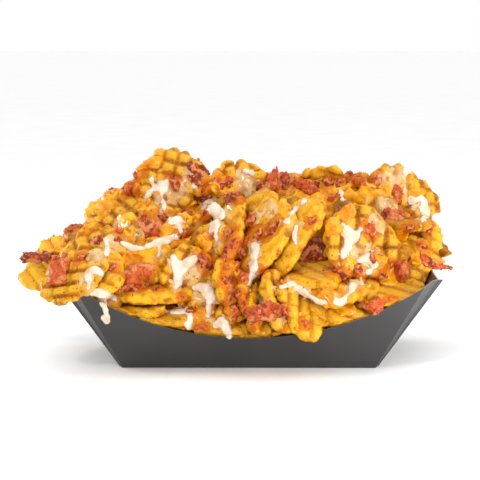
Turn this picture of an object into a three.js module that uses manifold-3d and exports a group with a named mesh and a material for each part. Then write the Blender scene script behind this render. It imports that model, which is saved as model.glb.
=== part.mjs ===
// Loaded waffle fries: a heap of lattice-cut potato slices in a folded paper tray, with chunks of
// bacon on it and a thick white sauce run over it. Millimetres, +Z up, and the front faces -Y.
// The origin is the middle of the tray's flat underside.

import * as THREE from "three";
import { mergeVertices } from "three/addons/utils/BufferGeometryUtils.js";
import Module from "manifold-3d";

const wasm = await Module();
wasm.setup();

// The tray
const TRAY_LENGTH = [152, 220]; // at the base, and at the rim's corners
const TRAY_DEPTH = [90, 150];
const TRAY_HEIGHT = 57; // of the two ends and the four corners
const DIP_HEIGHT = 20; // of the two long walls at their middle
const DIP_REACH = 106; // the dip's arc meets the rim this far from the middle
const CORNER_CUT = [0.8, 7]; // the corner folds widen from the base up to the rim
const FIN_WIDTH = [0.5, 2.4]; // the folded seam that stands out along each corner
const FIN_THICK = 1.1;
const RIM_ROOM = 8; // shapes that cut above the rim reach at least this far over it
const BOARD = 0.9;
const GAP = 0.3; // between any two solids that touch
const RIM_GAP = 0.25; // under what hangs over the rim
const DIP_SEGMENTS = 20; // straight pieces along the dip's arc
const WELD = 1e-4; // points closer than this are one point

// The slices of potato
const RIDGE_PITCH = 13.5;
const RIDGE_TOP = 3.7; // a ridge's crest above the slice's middle plane
const OPEN_GROOVE = -0.9; // grooves deeper than the middle plane leave holes where they cross
const CLOSED_GROOVE = 1.1;
const UNDERSIDE = -3.2; // a closed slice's plain underside, which lies against the heap
const RIDGE_FOOT = -9; // the ridged shapes are cut off well below the slice
const SLAB_HALF = 5; // half the plain slab that the ridges are cut from
const OUTLINE_SIDES = { open: 11, closed: 7 };
const OUTLINE_POWER = 2.4; // between an ellipse and a rectangle
const OUTLINE_WAVES = [0.05, 0.04]; // two and three bulges round the outline, as shares of its radius
const GRAIN_TURN = [20, 70]; // the ridges' turn from the slice's long side
const BEND_MOST = [0.004, 0.003]; // a slice's sag along and across, for each millimetre squared
const BEND_START = -0.7; // the least sag along, as a share of the most

// The heap's core is three mounds: each has a middle and three radii.
const MOUNDS = [
  { at: [-58, 2, 38], radii: [62, 45, 47] },
  { at: [8, 2, 42], radii: [66, 50, 52] },
  { at: [68, 2, 44], radii: [44, 47, 52] },
];
const MOUND_SCALE = 1.06; // the core's flat faces cut inside the round, so it is made larger
const FILL_HEIGHT = 15; // the slices fill the tray's floor up to here

// The view that the front pieces are placed in: across and up are millimetres on the plane that
// stands square to the line of sight at the foot of the front wall.
const VIEW_LIFT = THREE.MathUtils.degToRad(12);
const VIEW_DISTANCE = 1000;
const VIEW_AIM = new THREE.Vector3(0, -TRAY_DEPTH[0] / 2, 0);
const RIDGE_DEPTH = 6; // where the heap's crest stands, behind the tray's middle

// The slices that make up the front, each with the place of its middle in the view, how far it
// stands out of the core, where its face looks (turned right of the front, lifted above level),
// the spin of its long side, and its length and width. Those that hang over the rim say so.
const FRONT_SLICES = [
  { across: -47, up: 110, out: 4, turn: -8, lift: 14, spin: 50, size: [47, 41], open: true },
  { across: -2, up: 104, out: 0, turn: 6, lift: 16, spin: -45, size: [46, 40], open: true },
  { across: 91, up: 100, out: 6, turn: 12, lift: 12, spin: -50, size: [48, 40], open: true },
  { across: -78, up: 92, out: 4, turn: -22, lift: 38, spin: 15, size: [44, 38] },
  { across: 50, up: 95, out: 6, turn: -2, lift: 38, spin: -12, size: [52, 42] },
  { across: 65, up: 101, out: 0, turn: 10, lift: 40, spin: 40, size: [42, 34] },
  { across: -91, up: 66, out: 7, turn: -14, lift: 24, spin: 48, size: [48, 40] },
  { across: -114, up: 69, out: 5, turn: -30, lift: 52, spin: 14, size: [38, 28] },
  { across: -121, up: 58, out: 4, turn: -18, lift: 34, spin: -16, size: [38, 30], over: true },
  { across: -104, up: 55, out: 47, turn: -24, lift: 44, spin: 74, size: [46, 34], over: true },
  { across: -71, up: 39, out: 9, turn: -4, lift: 70, spin: -8, size: [50, 38] },
  { across: -58, up: 48, out: 7, turn: 6, lift: 76, spin: -4, size: [48, 38] },
  { across: -48, up: 33, out: 10, turn: 8, lift: 66, spin: 14, size: [46, 36] },
  { across: -68, up: 66, out: 8, turn: 4, lift: 34, spin: 20, size: [48, 40] },
  { across: -48, up: 82, out: 4, turn: 6, lift: 40, spin: -10, size: [44, 36] },
  { across: -32, up: 49, out: 13, turn: 10, lift: 6, spin: -60, size: [48, 38] },
  { across: -13, up: 80, out: 8, turn: -58, lift: 24, spin: 84, size: [50, 30] },
  { across: 2, up: 86, out: 10, turn: -52, lift: 28, spin: 82, size: [50, 30] },
  { across: 13, up: 81, out: 13, turn: -48, lift: 28, spin: 78, size: [54, 30] },
  { across: 24, up: 78, out: 15, turn: -34, lift: 24, spin: 66, size: [52, 28] },
  { across: -7, up: 47, out: 8, turn: 46, lift: 20, spin: 96, size: [44, 30] },
  { across: 7, up: 34, out: 12, turn: 54, lift: 26, spin: 104, size: [46, 30] },
  { across: 20, up: 36, out: 14, turn: 50, lift: 24, spin: 106, size: [46, 28] },
  { across: 29, up: 35, out: 17, turn: 44, lift: 26, spin: 108, size: [44, 26], over: true },
  { across: 47, up: 40, out: 13, turn: 4, lift: 26, spin: 4, size: [48, 38] },
  { across: 38, up: 57, out: 7, turn: -8, lift: 72, spin: -10, size: [50, 36] },
  { across: 57, up: 50, out: 10, turn: 2, lift: 64, spin: -12, size: [54, 38] },
  { across: 82, up: 47, out: 8, turn: 10, lift: 66, spin: 10, size: [48, 38] },
  { across: 68, up: 73, out: 13, turn: 6, lift: 8, spin: -58, size: [50, 40] },
  { across: 98, up: 78, out: 6, turn: 34, lift: 46, spin: 30, size: [46, 36] },
  { across: 99, up: 57, out: 8, turn: 26, lift: 26, spin: 28, size: [50, 40] },
  { across: 109, up: 63, out: 3, turn: 50, lift: 30, spin: -20, size: [40, 32] },
  { across: -96, up: 56, out: 32, turn: -20, lift: 54, spin: 12, size: [46, 40] },
  { across: -16, up: 28, out: 11, turn: 16, lift: 50, spin: 40, size: [46, 36] },
];

// The slices behind the crest, placed the same way by someone who stands at the back
const BACK_SLICES = [
  { across: 70, up: 78, out: 6, turn: 4, lift: 48, spin: 24, size: [46, 38] },
  { across: 46, up: 100, out: 9, turn: -6, lift: 30, spin: -38, size: [48, 40] },
  { across: 4, up: 97, out: 9, turn: 8, lift: 34, spin: 62, size: [46, 38] },
  { across: -32, up: 96, out: 6, turn: -10, lift: 44, spin: 10, size: [48, 39] },
  { across: -62, up: 98, out: 8, turn: 4, lift: 36, spin: -55, size: [45, 37] },
  { across: -72, up: 82, out: 8, turn: -14, lift: 26, spin: 36, size: [47, 39] },
];

// The back, top and ends are covered by rule: points spread evenly over each mound.
const SPREAD_COUNT = 26; // points round a whole mound
const SPREAD_FROM = -0.15; // the rule's slices start this far forward of a mound's middle, as a share
const SPREAD_LEAN = 0.35; // and this much further back on top of it
const SPREAD_OUT = 3; // how far a slice's middle stands out of its mound
const SPREAD_OVERLAP = 0.97; // slices deeper than this in another mound are left to that mound
const SPREAD_RISE = -2; // least height of a slice's middle above the rim beside it
const SPREAD_TILT = 26; // most that a slice leans away from lying flat on its mound
const SPREAD_SIZE = [43, 51];
const SPREAD_SHAPE = [0.76, 0.88]; // width against length

const GOLDEN_ANGLE = Math.PI * (3 - Math.sqrt(5));

// Chunks of bacon: place in the view or on the back, length, width and thickness, and the spin.
const BACON_FRONT = [
  { across: -31, up: 117, size: [14, 11, 5], spin: -60 },
  { across: -18, up: 111, size: [15, 8, 4], spin: 25 },
  { across: -105, up: 81, size: [14, 9, 5], spin: 50 },
  { across: -126, up: 66, size: [22, 6, 3], spin: 8 },
  { across: -112, up: 57, size: [17, 10, 6], spin: 78 },
  { across: -59, up: 83, size: [14, 10, 6], spin: -8 },
  { across: -74, up: 46, size: [14, 8, 5], spin: -6 },
  { across: -66, up: 54, size: [17, 9, 5], spin: 14 },
  { across: 14, up: 111, size: [17, 9, 3], spin: 44 },
  { across: 35, up: 107, size: [13, 7, 4], spin: -30 },
  { across: 88, up: 101, size: [13, 7, 4], spin: 64 },
  { across: 87, up: 87, size: [16, 11, 5], spin: -62 },
  { across: 90, up: 61, size: [17, 9, 6], spin: -80 },
  { across: 108, up: 63, size: [21, 5, 3], spin: -22 },
  { across: 42, up: 69, size: [17, 12, 6], spin: 12 },
  { across: 9, up: 33, size: [20, 6, 4], spin: 4 },
  { across: 75, up: 37, size: [10, 8, 4], spin: 30 },
];
const BACON_BACK = [
  { across: -84, up: 96, size: [14, 9, 5], spin: 30 },
  { across: -40, up: 78, size: [16, 8, 4], spin: 62 },
  { across: -14, up: 104, size: [15, 10, 5], spin: 10 },
  { across: 12, up: 72, size: [13, 8, 5], spin: -30 },
  { across: 30, up: 108, size: [18, 6, 3], spin: 24 },
  { across: 84, up: 104, size: [14, 8, 4], spin: -15 },
  { across: 96, up: 70, size: [13, 8, 5], spin: 44 },
];
const BACON_STEP = 0.4; // how finely a chunk's height over its seat is found
const BACON_RISE = 40; // the most that it is raised
const BACON_SUNK = 0.3; // the most of a chunk's room that lies below the surface around it
const BACON_FACING = 3; // the viewer's share in where a chunk faces, against each piece of its seat
const BACON_SIDES = [[1, 0], [-1, 0], [0, 1], [0, -1]]; // where its seat is felt, besides the middle
const BACON_NUDGE = [0.16, 0.18, 0.2]; // how uneven its corners are, as shares of its size
const BACON_TAPER = 0.2; // how much narrower its ends are
const BACON_BEND = [-0.18, 0.42]; // its sag, as a share of its length

// Runs of white sauce: points in the view that each run passes through, and its half width.
const SAUCE_RUNS = [
  { half: 2.6, points: [[-55, 113], [-56, 108], [-49, 103], [-43, 107], [-41, 101]] },
  { half: 3.4, points: [[-27, 99], [-22, 91], [-19, 84], [-18, 79]] },
  { half: 1.7, points: [[-78, 75], [-72, 69], [-62, 72], [-53, 77], [-46, 76]] },
  { half: 3.2, points: [[-44, 68], [-43, 60], [-42, 51]] },
  { half: 2.6, points: [[6, 80], [3, 70], [-1, 61], [-4, 56]] },
  { half: 2.0, points: [[20, 52], [28, 48], [36, 41], [44, 37], [54, 36]] },
  { half: 3.2, points: [[98, 106], [101, 99], [105, 91]] },
  { half: 3.0, points: [[57, 85], [58, 77], [62, 68]] },
];
const SAUCE_SIDES = 4;
const SAUCE_SUNK = 0.3; // part of the half width that a run's middle line stands proud

// A line of sight that passes over the heap is lowered by steps, no further than a limit.
const SIGHT_STEP = 1.5;
const SIGHT_DROP = 30;

const RANDOM_SEED = 4781;

const radians = THREE.MathUtils.degToRad;
const degrees = THREE.MathUtils.radToDeg;
const lerp = THREE.MathUtils.lerp;

// A small generator of numbers from 0 to 1 that gives the same draws every time.
function randomDraws(seed) {
  let state = seed >>> 0;
  return () => {
    state = (Math.imul(1664525, state) + 1013904223) >>> 0;
    return state / 4294967296;
  };
}

// Solids and geometries
function solidOf(geometry) {
  const bare = new THREE.BufferGeometry().setAttribute("position", geometry.getAttribute("position"));
  bare.setIndex(geometry.index);
  const merged = mergeVertices(bare, WELD);
  return new wasm.Manifold(
    new wasm.Mesh({
      numProp: 3,
      vertProperties: new Float32Array(merged.attributes.position.array),
      triVerts: new Uint32Array(merged.index.array),
    }),
  );
}

function geometryOf(solid) {
  const mesh = solid.getMesh();
  const positions = new Float32Array(mesh.numVert * 3);
  for (let i = 0; i < mesh.numVert; i++) {
    positions.set(mesh.vertProperties.subarray(i * mesh.numProp, i * mesh.numProp + 3), i * 3);
  }
  const geometry = new THREE.BufferGeometry();
  geometry.setAttribute("position", new THREE.BufferAttribute(positions, 3));
  geometry.setIndex(new THREE.BufferAttribute(new Uint32Array(mesh.triVerts), 1));
  return geometry;
}

function unionOf(solids) {
  return solids.reduce((sum, solid) => sum.add(solid));
}

function biggestBodyOf(solid) {
  return solid.decompose().reduce((best, body) => (body.volume() > best.volume() ? body : best));
}

// A closed solid through rings of points that run counter-clockwise seen from above, lowest first.
function loft(rings) {
  const count = rings[0].length;
  const positions = rings.flat(2);
  const index = [];
  for (let r = 0; r + 1 < rings.length; r++) {
    for (let i = 0; i < count; i++) {
      const a = r * count + i;
      const b = r * count + ((i + 1) % count);
      index.push(a, b, b + count, a, b + count, a + count);
    }
  }
  const top = (rings.length - 1) * count;
  for (let i = 1; i + 1 < count; i++) {
    index.push(0, i + 1, i, top, top + i, top + i + 1);
  }
  const geometry = new THREE.BufferGeometry();
  geometry.setAttribute("position", new THREE.Float32BufferAttribute(positions, 3));
  geometry.setIndex(index);
  return geometry;
}

// An outline drawn across and up, made into a slab that runs from -half to half along Y.
function slabAlongY(shape, half) {
  const settings = { depth: 2 * half, bevelEnabled: false, curveSegments: DIP_SEGMENTS };
  return new THREE.ExtrudeGeometry(shape, settings).translate(0, 0, -half).rotateX(Math.PI / 2);
}

// The tray
function trayRing(height, inset) {
  const share = height / TRAY_HEIGHT;
  const hx = lerp(...TRAY_LENGTH, share) / 2 - inset;
  const hy = lerp(...TRAY_DEPTH, share) / 2 - inset;
  const cut = lerp(...CORNER_CUT, share);
  return [
    [hx - cut, -hy],
    [hx, -hy + cut],
    [hx, hy - cut],
    [hx - cut, hy],
    [-hx + cut, hy],
    [-hx, hy - cut],
    [-hx, -hy + cut],
    [-hx + cut, -hy],
  ].map(([x, y]) => [x, y, height]);
}

// The side view of what stands above the long walls' dipping rim, lowered or raised by a margin.
function dipShape(margin) {
  const sagitta = TRAY_HEIGHT - DIP_HEIGHT;
  const radius = (DIP_REACH ** 2 + sagitta ** 2) / (2 * sagitta);
  const middle = DIP_HEIGHT + radius;
  const half = Math.asin(DIP_REACH / radius);
  const rim = TRAY_HEIGHT + margin;
  const far = TRAY_LENGTH[1];
  const shape = new THREE.Shape();
  shape.moveTo(-DIP_REACH, rim);
  shape.absarc(0, middle + margin, radius, -Math.PI / 2 - half, -Math.PI / 2 + half, false);
  shape.lineTo(far, rim);
  shape.lineTo(far, 3 * far);
  shape.lineTo(-far, 3 * far);
  shape.lineTo(-far, rim);
  return shape;
}

function traySolid(grow) {
  const lowest = BOARD + grow;
  const outer = solidOf(loft([trayRing(0, -grow), trayRing(TRAY_HEIGHT + grow, -grow)]));
  const open = TRAY_HEIGHT + RIM_ROOM;
  const inner = solidOf(loft([trayRing(lowest, BOARD + grow), trayRing(open, BOARD + grow)]));
  const above = solidOf(slabAlongY(dipShape(grow), TRAY_DEPTH[1]));
  const fins = [];
  for (const sx of [-1, 1]) {
    for (const sy of [-1, 1]) {
      fins.push(finSolid(sx, sy, grow));
    }
  }
  return unionOf([outer.subtract(inner).subtract(above), ...fins]);
}

// The seam along one corner: a narrow strip that stands out past the end wall.
function finSolid(sx, sy, grow) {
  const ring = (height) => {
    const share = height / TRAY_HEIGHT;
    const x = lerp(...TRAY_LENGTH, share) / 2;
    const y = lerp(...TRAY_DEPTH, share) / 2 - lerp(...CORNER_CUT, share);
    const out = x + lerp(...FIN_WIDTH, share) + grow;
    const near = y + grow;
    const far = y - FIN_THICK - grow;
    const corners = [
      [x - BOARD, near],
      [out, near],
      [out, far],
      [x - BOARD, far],
    ].map(([px, py]) => [sx * px, sy * py, height]);
    return sx * sy > 0 ? corners.reverse() : corners;
  };
  return solidOf(loft([ring(BOARD), ring(TRAY_HEIGHT + grow)]));
}

// Everything outside the tray's inner space and below its rim, which the fries keep out of.
function outsideTray() {
  const open = TRAY_HEIGHT + 2 * RIM_ROOM;
  const inner = solidOf(loft([trayRing(BOARD + GAP, BOARD + GAP), trayRing(open, BOARD + GAP)]));
  const reach = 2 * TRAY_LENGTH[1];
  const box = new THREE.BoxGeometry(reach, reach, reach);
  const block = solidOf(box.translate(0, 0, TRAY_HEIGHT + RIM_ROOM - reach / 2));
  const above = solidOf(slabAlongY(dipShape(GAP), TRAY_LENGTH[1]));
  return block.subtract(above).subtract(inner);
}

// A slice's outline at an angle: a rounded oval, a little uneven.
function outlineRadius(angle, slice) {
  const [length, width] = slice.size;
  const c = Math.abs(Math.cos(angle) / (length / 2));
  const s = Math.abs(Math.sin(angle) / (width / 2));
  const oval = 1 / (c ** OUTLINE_POWER + s ** OUTLINE_POWER) ** (1 / OUTLINE_POWER);
  const two = OUTLINE_WAVES[0] * Math.sin(2 * angle + slice.phase[0]);
  const three = OUTLINE_WAVES[1] * Math.sin(3 * angle + slice.phase[1]);
  return oval * (1 + two + three);
}

// A wave of ridges along a slice, closed off well below: the crests lie on one side.
function ridgeShape(reach, groove, shift) {
  const shape = new THREE.Shape();
  const half = RIDGE_PITCH / 2;
  const steps = 2 * Math.ceil(reach / half / 2 + 1);
  shape.moveTo(-steps * half + shift, RIDGE_FOOT);
  for (let i = -steps; i <= steps; i++) {
    shape.lineTo(i * half + shift, i % 2 ? groove : RIDGE_TOP);
  }
  shape.lineTo(steps * half + shift, RIDGE_FOOT);
  return shape;
}

// One lattice-cut slice: ridges along the top and, on an open one, ridges the other way beneath.
function sliceSolid(slice) {
  const reach = slice.size[0] / 2 + 3;
  const groove = slice.open ? OPEN_GROOVE : CLOSED_GROOVE;
  const sides = slice.open ? OUTLINE_SIDES.open : OUTLINE_SIDES.closed;
  const outline = new THREE.Shape();
  for (let i = 0; i < sides; i++) {
    const angle = (i / sides) * 2 * Math.PI;
    const radius = outlineRadius(angle, slice);
    const move = i ? "lineTo" : "moveTo";
    outline[move](radius * Math.cos(angle), radius * Math.sin(angle));
  }
  const low = slice.open ? -SLAB_HALF : UNDERSIDE;
  const depth = SLAB_HALF - low;
  const rim = new THREE.ExtrudeGeometry(outline, { depth, bevelEnabled: false }).translate(0, 0, low);
  const top = slabAlongY(ridgeShape(reach, groove, slice.shift[0]), 2 * reach).rotateZ(slice.grain);
  let flat = solidOf(rim).intersect(solidOf(top));
  if (slice.open) {
    const under = slabAlongY(ridgeShape(reach, groove, slice.shift[1]), 2 * reach)
      .rotateX(Math.PI)
      .rotateZ(slice.grain + Math.PI / 2);
    flat = flat.intersect(solidOf(under));
  }
  const bent = geometryOf(flat);
  const position = bent.getAttribute("position");
  for (let i = 0; i < position.count; i++) {
    const x = position.getX(i);
    const y = position.getY(i);
    position.setZ(i, position.getZ(i) - (slice.bend[0] * x * x + slice.bend[1] * y * y));
  }
  return solidOf(bent.applyMatrix4(placeOf(slice)));
}

// The frame of a piece whose face looks along a turned and lifted direction.
function placeOf({ at, turn, lift, spin }) {
  const t = radians(turn);
  const l = radians(lift);
  const s = radians(spin);
  const face = new THREE.Vector3(
    Math.sin(t) * Math.cos(l),
    -Math.cos(t) * Math.cos(l),
    Math.sin(l),
  );
  const level = new THREE.Vector3(Math.cos(t), Math.sin(t), 0);
  const rise = face.clone().cross(level);
  const along = level.clone().multiplyScalar(Math.cos(s)).addScaledVector(rise, Math.sin(s));
  const across = face.clone().cross(along);
  return new THREE.Matrix4().makeBasis(along, across, face).setPosition(at);
}

// The turn and lift of a direction, in degrees
function facingOf(face) {
  return { turn: degrees(Math.atan2(face.x, -face.y)), lift: degrees(Math.asin(face.z)) };
}

// The view's line through a place on its plane
const VIEW_BACK = new THREE.Vector3(0, -Math.cos(VIEW_LIFT), Math.sin(VIEW_LIFT));
const VIEW_UP = new THREE.Vector3(0, Math.sin(VIEW_LIFT), Math.cos(VIEW_LIFT));

function viewRay(across, up) {
  const eye = VIEW_AIM.clone().addScaledVector(VIEW_BACK, VIEW_DISTANCE);
  const through = VIEW_AIM.clone().addScaledVector(VIEW_UP, up).setX(across);
  return new THREE.Ray(eye, through.sub(eye).normalize());
}

// The same line from straight behind, for the pieces on the back.
function backRay(across, up) {
  const ray = viewRay(-across, up);
  ray.origin.y *= -1;
  ray.origin.x *= -1;
  ray.direction.y *= -1;
  ray.direction.x *= -1;
  return ray;
}

// Where a ray first meets the mounds, or where it passes the heap's crest
function onMounds(ray) {
  let nearest = Infinity;
  for (const { at, radii } of MOUNDS) {
    const scale = new THREE.Vector3(...radii);
    const from = ray.origin.clone().sub(new THREE.Vector3(...at)).divide(scale);
    const step = ray.direction.clone().divide(scale);
    const a = step.dot(step);
    const b = from.dot(step);
    const inside = b * b - a * (from.dot(from) - 1);
    if (inside > 0) nearest = Math.min(nearest, (-b - Math.sqrt(inside)) / a);
  }
  const crest = (RIDGE_DEPTH - ray.origin.y) / ray.direction.y;
  return Math.min(nearest, crest);
}

// The rim's height above a place across the tray: a dip on the long sides, level at the ends
function rimHeight(x, y) {
  const level = Math.abs(x) > DIP_REACH || Math.abs(y) < TRAY_DEPTH[0] / 2;
  const sagitta = TRAY_HEIGHT - DIP_HEIGHT;
  const radius = (DIP_REACH ** 2 + sagitta ** 2) / (2 * sagitta);
  return level ? TRAY_HEIGHT : DIP_HEIGHT + radius - Math.sqrt(radius ** 2 - x ** 2);
}

// What differs from slice to slice: the cut's direction and shift, the outline and the bend
function withDetails(slice, draw) {
  return {
    ...slice,
    grain: radians(lerp(...GRAIN_TURN, draw())),
    shift: [RIDGE_PITCH * (draw() - 0.5), RIDGE_PITCH * (draw() - 0.5)],
    phase: [2 * Math.PI * draw(), 2 * Math.PI * draw()],
    bend: [BEND_MOST[0] * (2 * draw() + BEND_START), BEND_MOST[1] * (2 * draw() - 1)],
  };
}

// Slices placed by their list, for someone who looks along a family of rays turned by some degrees
function listedSlices(list, rayOf, turned, draw) {
  return list.map((slice) => {
    const ray = rayOf(slice.across, slice.up);
    const at = ray.at(onMounds(ray) - slice.out, new THREE.Vector3());
    return withDetails({ ...slice, at, turn: slice.turn + turned }, draw);
  });
}

function isInsideMound(point, { at, radii }, margin) {
  const share = point.clone().sub(new THREE.Vector3(...at)).divide(new THREE.Vector3(...radii));
  return share.length() < margin;
}

function spreadSlices(draw) {
  const slices = [];
  for (const mound of MOUNDS) {
    const others = MOUNDS.filter((other) => other !== mound);
    for (let i = 0; i < SPREAD_COUNT; i++) {
      const height = 1 - (2 * (i + 0.5)) / SPREAD_COUNT;
      const flat = Math.sqrt(1 - height * height);
      const angle = i * GOLDEN_ANGLE;
      const way = new THREE.Vector3(flat * Math.cos(angle), flat * Math.sin(angle), height);
      const radii = new THREE.Vector3(...mound.radii);
      const face = way.clone().divide(radii).normalize();
      const on = way.clone().multiply(radii).add(new THREE.Vector3(...mound.at));
      const at = on.addScaledVector(face, SPREAD_OUT);
      const draws = [draw(), draw(), draw(), draw(), draw()];
      if (way.y < SPREAD_FROM + SPREAD_LEAN * Math.max(0, height)) continue;
      if (others.some((other) => isInsideMound(at, other, SPREAD_OVERLAP))) continue;
      if (at.z < rimHeight(at.x, at.y) + SPREAD_RISE) continue;
      const { turn, lift } = facingOf(face);
      const length = lerp(...SPREAD_SIZE, draws[2]);
      const slice = {
        at,
        turn: turn + SPREAD_TILT * (2 * draws[0] - 1),
        lift: lift + SPREAD_TILT * (2 * draws[1] - 1),
        spin: 180 * draws[4],
        size: [length, length * lerp(...SPREAD_SHAPE, draws[3])],
      };
      slices.push(withDetails(slice, draw));
    }
  }
  return slices;
}

// The core under the slices
function coreSolid() {
  const mounds = MOUNDS.map(({ at, radii }) =>
    solidOf(new THREE.IcosahedronGeometry(MOUND_SCALE, 1).scale(...radii).translate(...at)),
  );
  const fill = solidOf(loft([trayRing(BOARD, BOARD), trayRing(FILL_HEIGHT, BOARD)]));
  return unionOf([fill, ...mounds]);
}

// A run of sauce: a tube along the points where the view's lines meet the slices
function sauceSolid(run, surface) {
  const points = run.points.map(([across, up]) => {
    const { point, normal } = surfaceAt(surface, viewRay, across, up);
    return point.addScaledVector(normal, SAUCE_SUNK * run.half);
  });
  const path = new THREE.CatmullRomCurve3(points);
  const section = new THREE.Shape();
  for (let i = 0; i < SAUCE_SIDES; i++) {
    const angle = (i / SAUCE_SIDES) * 2 * Math.PI;
    const move = i ? "lineTo" : "moveTo";
    section[move](run.half * Math.cos(angle), run.half * Math.sin(angle));
  }
  const steps = points.length - 1;
  return solidOf(new THREE.ExtrudeGeometry(section, { steps, extrudePath: path, bevelEnabled: false }));
}

function seenSurface(solid) {
  return new THREE.Mesh(geometryOf(solid), new THREE.MeshBasicMaterial({ side: THREE.DoubleSide }));
}

// Where a line of sight first meets a surface; one that passes over it is lowered until it does
function surfaceAt(surface, rayOf, across, up) {
  for (let lower = 0; lower < SIGHT_DROP; lower += SIGHT_STEP) {
    const ray = rayOf(across, up - lower);
    const [hit] = new THREE.Raycaster(ray.origin, ray.direction).intersectObject(surface);
    if (hit) return { ray, point: hit.point, normal: hit.face.normal.clone() };
  }
  return null;
}

// A chunk of bacon: a block with uneven corners and a slight bend
function baconGeometry(chunk) {
  const [length, width, thick] = chunk.size;
  const box = new THREE.BoxGeometry(1, 1, 1, 2, 2, 1);
  const bare = new THREE.BufferGeometry().setAttribute("position", box.getAttribute("position"));
  const geometry = mergeVertices(bare.setIndex(box.index), WELD);
  const position = geometry.getAttribute("position");
  const draw = randomDraws(chunk.seed);
  for (let i = 0; i < position.count; i++) {
    const end = Math.abs(position.getX(i)) * 2;
    const nudge = [draw() - 0.5, draw() - 0.5, draw() - 0.5];
    const x = length * (position.getX(i) + BACON_NUDGE[0] * nudge[0]);
    const y = width * (position.getY(i) * (1 - BACON_TAPER * end) + BACON_NUDGE[1] * nudge[1]);
    const z = thick * (position.getZ(i) + BACON_NUDGE[2] * nudge[2]) - (chunk.bend * x * x) / length;
    position.setXYZ(i, x, y, z);
  }
  return geometry.applyMatrix4(chunk.place);
}

// The room that a chunk takes: the plain block around it, a gap larger on every side
function bedGeometry(chunk) {
  const bacon = baconGeometry({ ...chunk, place: new THREE.Matrix4() });
  bacon.computeBoundingBox();
  const size = bacon.boundingBox.getSize(new THREE.Vector3()).addScalar(2 * GAP);
  const middle = bacon.boundingBox.getCenter(new THREE.Vector3());
  return new THREE.BoxGeometry(...size).translate(...middle).applyMatrix4(chunk.place);
}

// A chunk faces halfway between the viewer and the way that the surface under its middle and its
// sides faces. It is raised until only a share of it is sunk in what lies there.
function seatedChunk(chunk, rayOf, surface, heap, others, seed) {
  const reach = chunk.size[0] / 3;
  const seat = surfaceAt(surface, rayOf, chunk.across, chunk.up);
  const face = seat.normal.clone().addScaledVector(seat.ray.direction, -BACON_FACING);
  for (const [dx, dy] of BACON_SIDES) {
    const side = surfaceAt(surface, rayOf, chunk.across + dx * reach, chunk.up + dy * reach);
    face.add(side ? side.normal : seat.normal);
  }
  face.normalize();
  const { turn, lift } = facingOf(face);
  const bend = lerp(...BACON_BEND, randomDraws(seed)());
  for (let rise = 0; rise < BACON_RISE; rise += BACON_STEP) {
    const at = seat.point.clone().addScaledVector(face, rise);
    const seated = { ...chunk, place: placeOf({ at, turn, lift, spin: chunk.spin }), bend, seed };
    const bed = solidOf(bedGeometry(seated));
    const sunk = heap.intersect(bed).volume() / bed.volume();
    if (sunk < BACON_SUNK && others.intersect(bed).isEmpty()) return seated;
  }
  throw new Error("no room for the chunk at " + chunk.across + ", " + chunk.up);
}

// Build
const GOLDEN = new THREE.MeshStandardMaterial({ color: 0xe0a030, roughness: 0.55, metalness: 0 });
const MEAT = new THREE.MeshStandardMaterial({ color: 0xb5512c, roughness: 0.5, metalness: 0 });
const BLACK_BOARD = new THREE.MeshStandardMaterial({ color: 0x353334, roughness: 0.6, metalness: 0 });

function namedMesh(name, geometry, material) {
  const mesh = new THREE.Mesh(geometry, material);
  mesh.name = name;
  return mesh;
}

const front = listedSlices(FRONT_SLICES, viewRay, 0, randomDraws(RANDOM_SEED));
const back = listedSlices(BACK_SLICES, backRay, 180, randomDraws(RANDOM_SEED + 1));
const spread = spreadSlices(randomDraws(RANDOM_SEED + 2));
const over = front.filter((slice) => slice.over);
const within = [...front.filter((slice) => !slice.over), ...back, ...spread];

const trayZone = traySolid(RIM_GAP);
let heap = unionOf([coreSolid(), ...within.map(sliceSolid)]).subtract(outsideTray());
heap = unionOf([heap, ...over.map(sliceSolid)]).subtract(trayZone);
const bareHeap = seenSurface(heap);
heap = unionOf([heap, ...SAUCE_RUNS.map((run) => sauceSolid(run, bareHeap))]).subtract(trayZone);
heap = biggestBodyOf(heap);

const saucedHeap = seenSurface(heap);
const chunks = [];
let beds = trayZone;
function addChunks(list, rayOf, seed) {
  list.forEach((chunk, i) => {
    chunks.push(seatedChunk(chunk, rayOf, saucedHeap, heap, beds, seed + i));
    beds = beds.add(solidOf(bedGeometry(chunks.at(-1))));
  });
}
addChunks(BACON_FRONT, viewRay, 100);
addChunks(BACON_BACK, backRay, 200);
heap = biggestBodyOf(heap.subtract(beds));

const group = new THREE.Group();
group.add(namedMesh("tray", geometryOf(traySolid(0)), BLACK_BOARD));
group.add(namedMesh("waffle_fries", geometryOf(heap), GOLDEN));
chunks.forEach((chunk, i) => {
  const name = "bacon_" + String(i + 1).padStart(2, "0");
  group.add(namedMesh(name, baconGeometry(chunk), MEAT));
});

export default group;
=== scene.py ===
import math

import bmesh
import bpy
import numpy as np
import openvdb as vdb
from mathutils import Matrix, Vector
from mathutils.bvhtree import BVHTree


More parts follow.
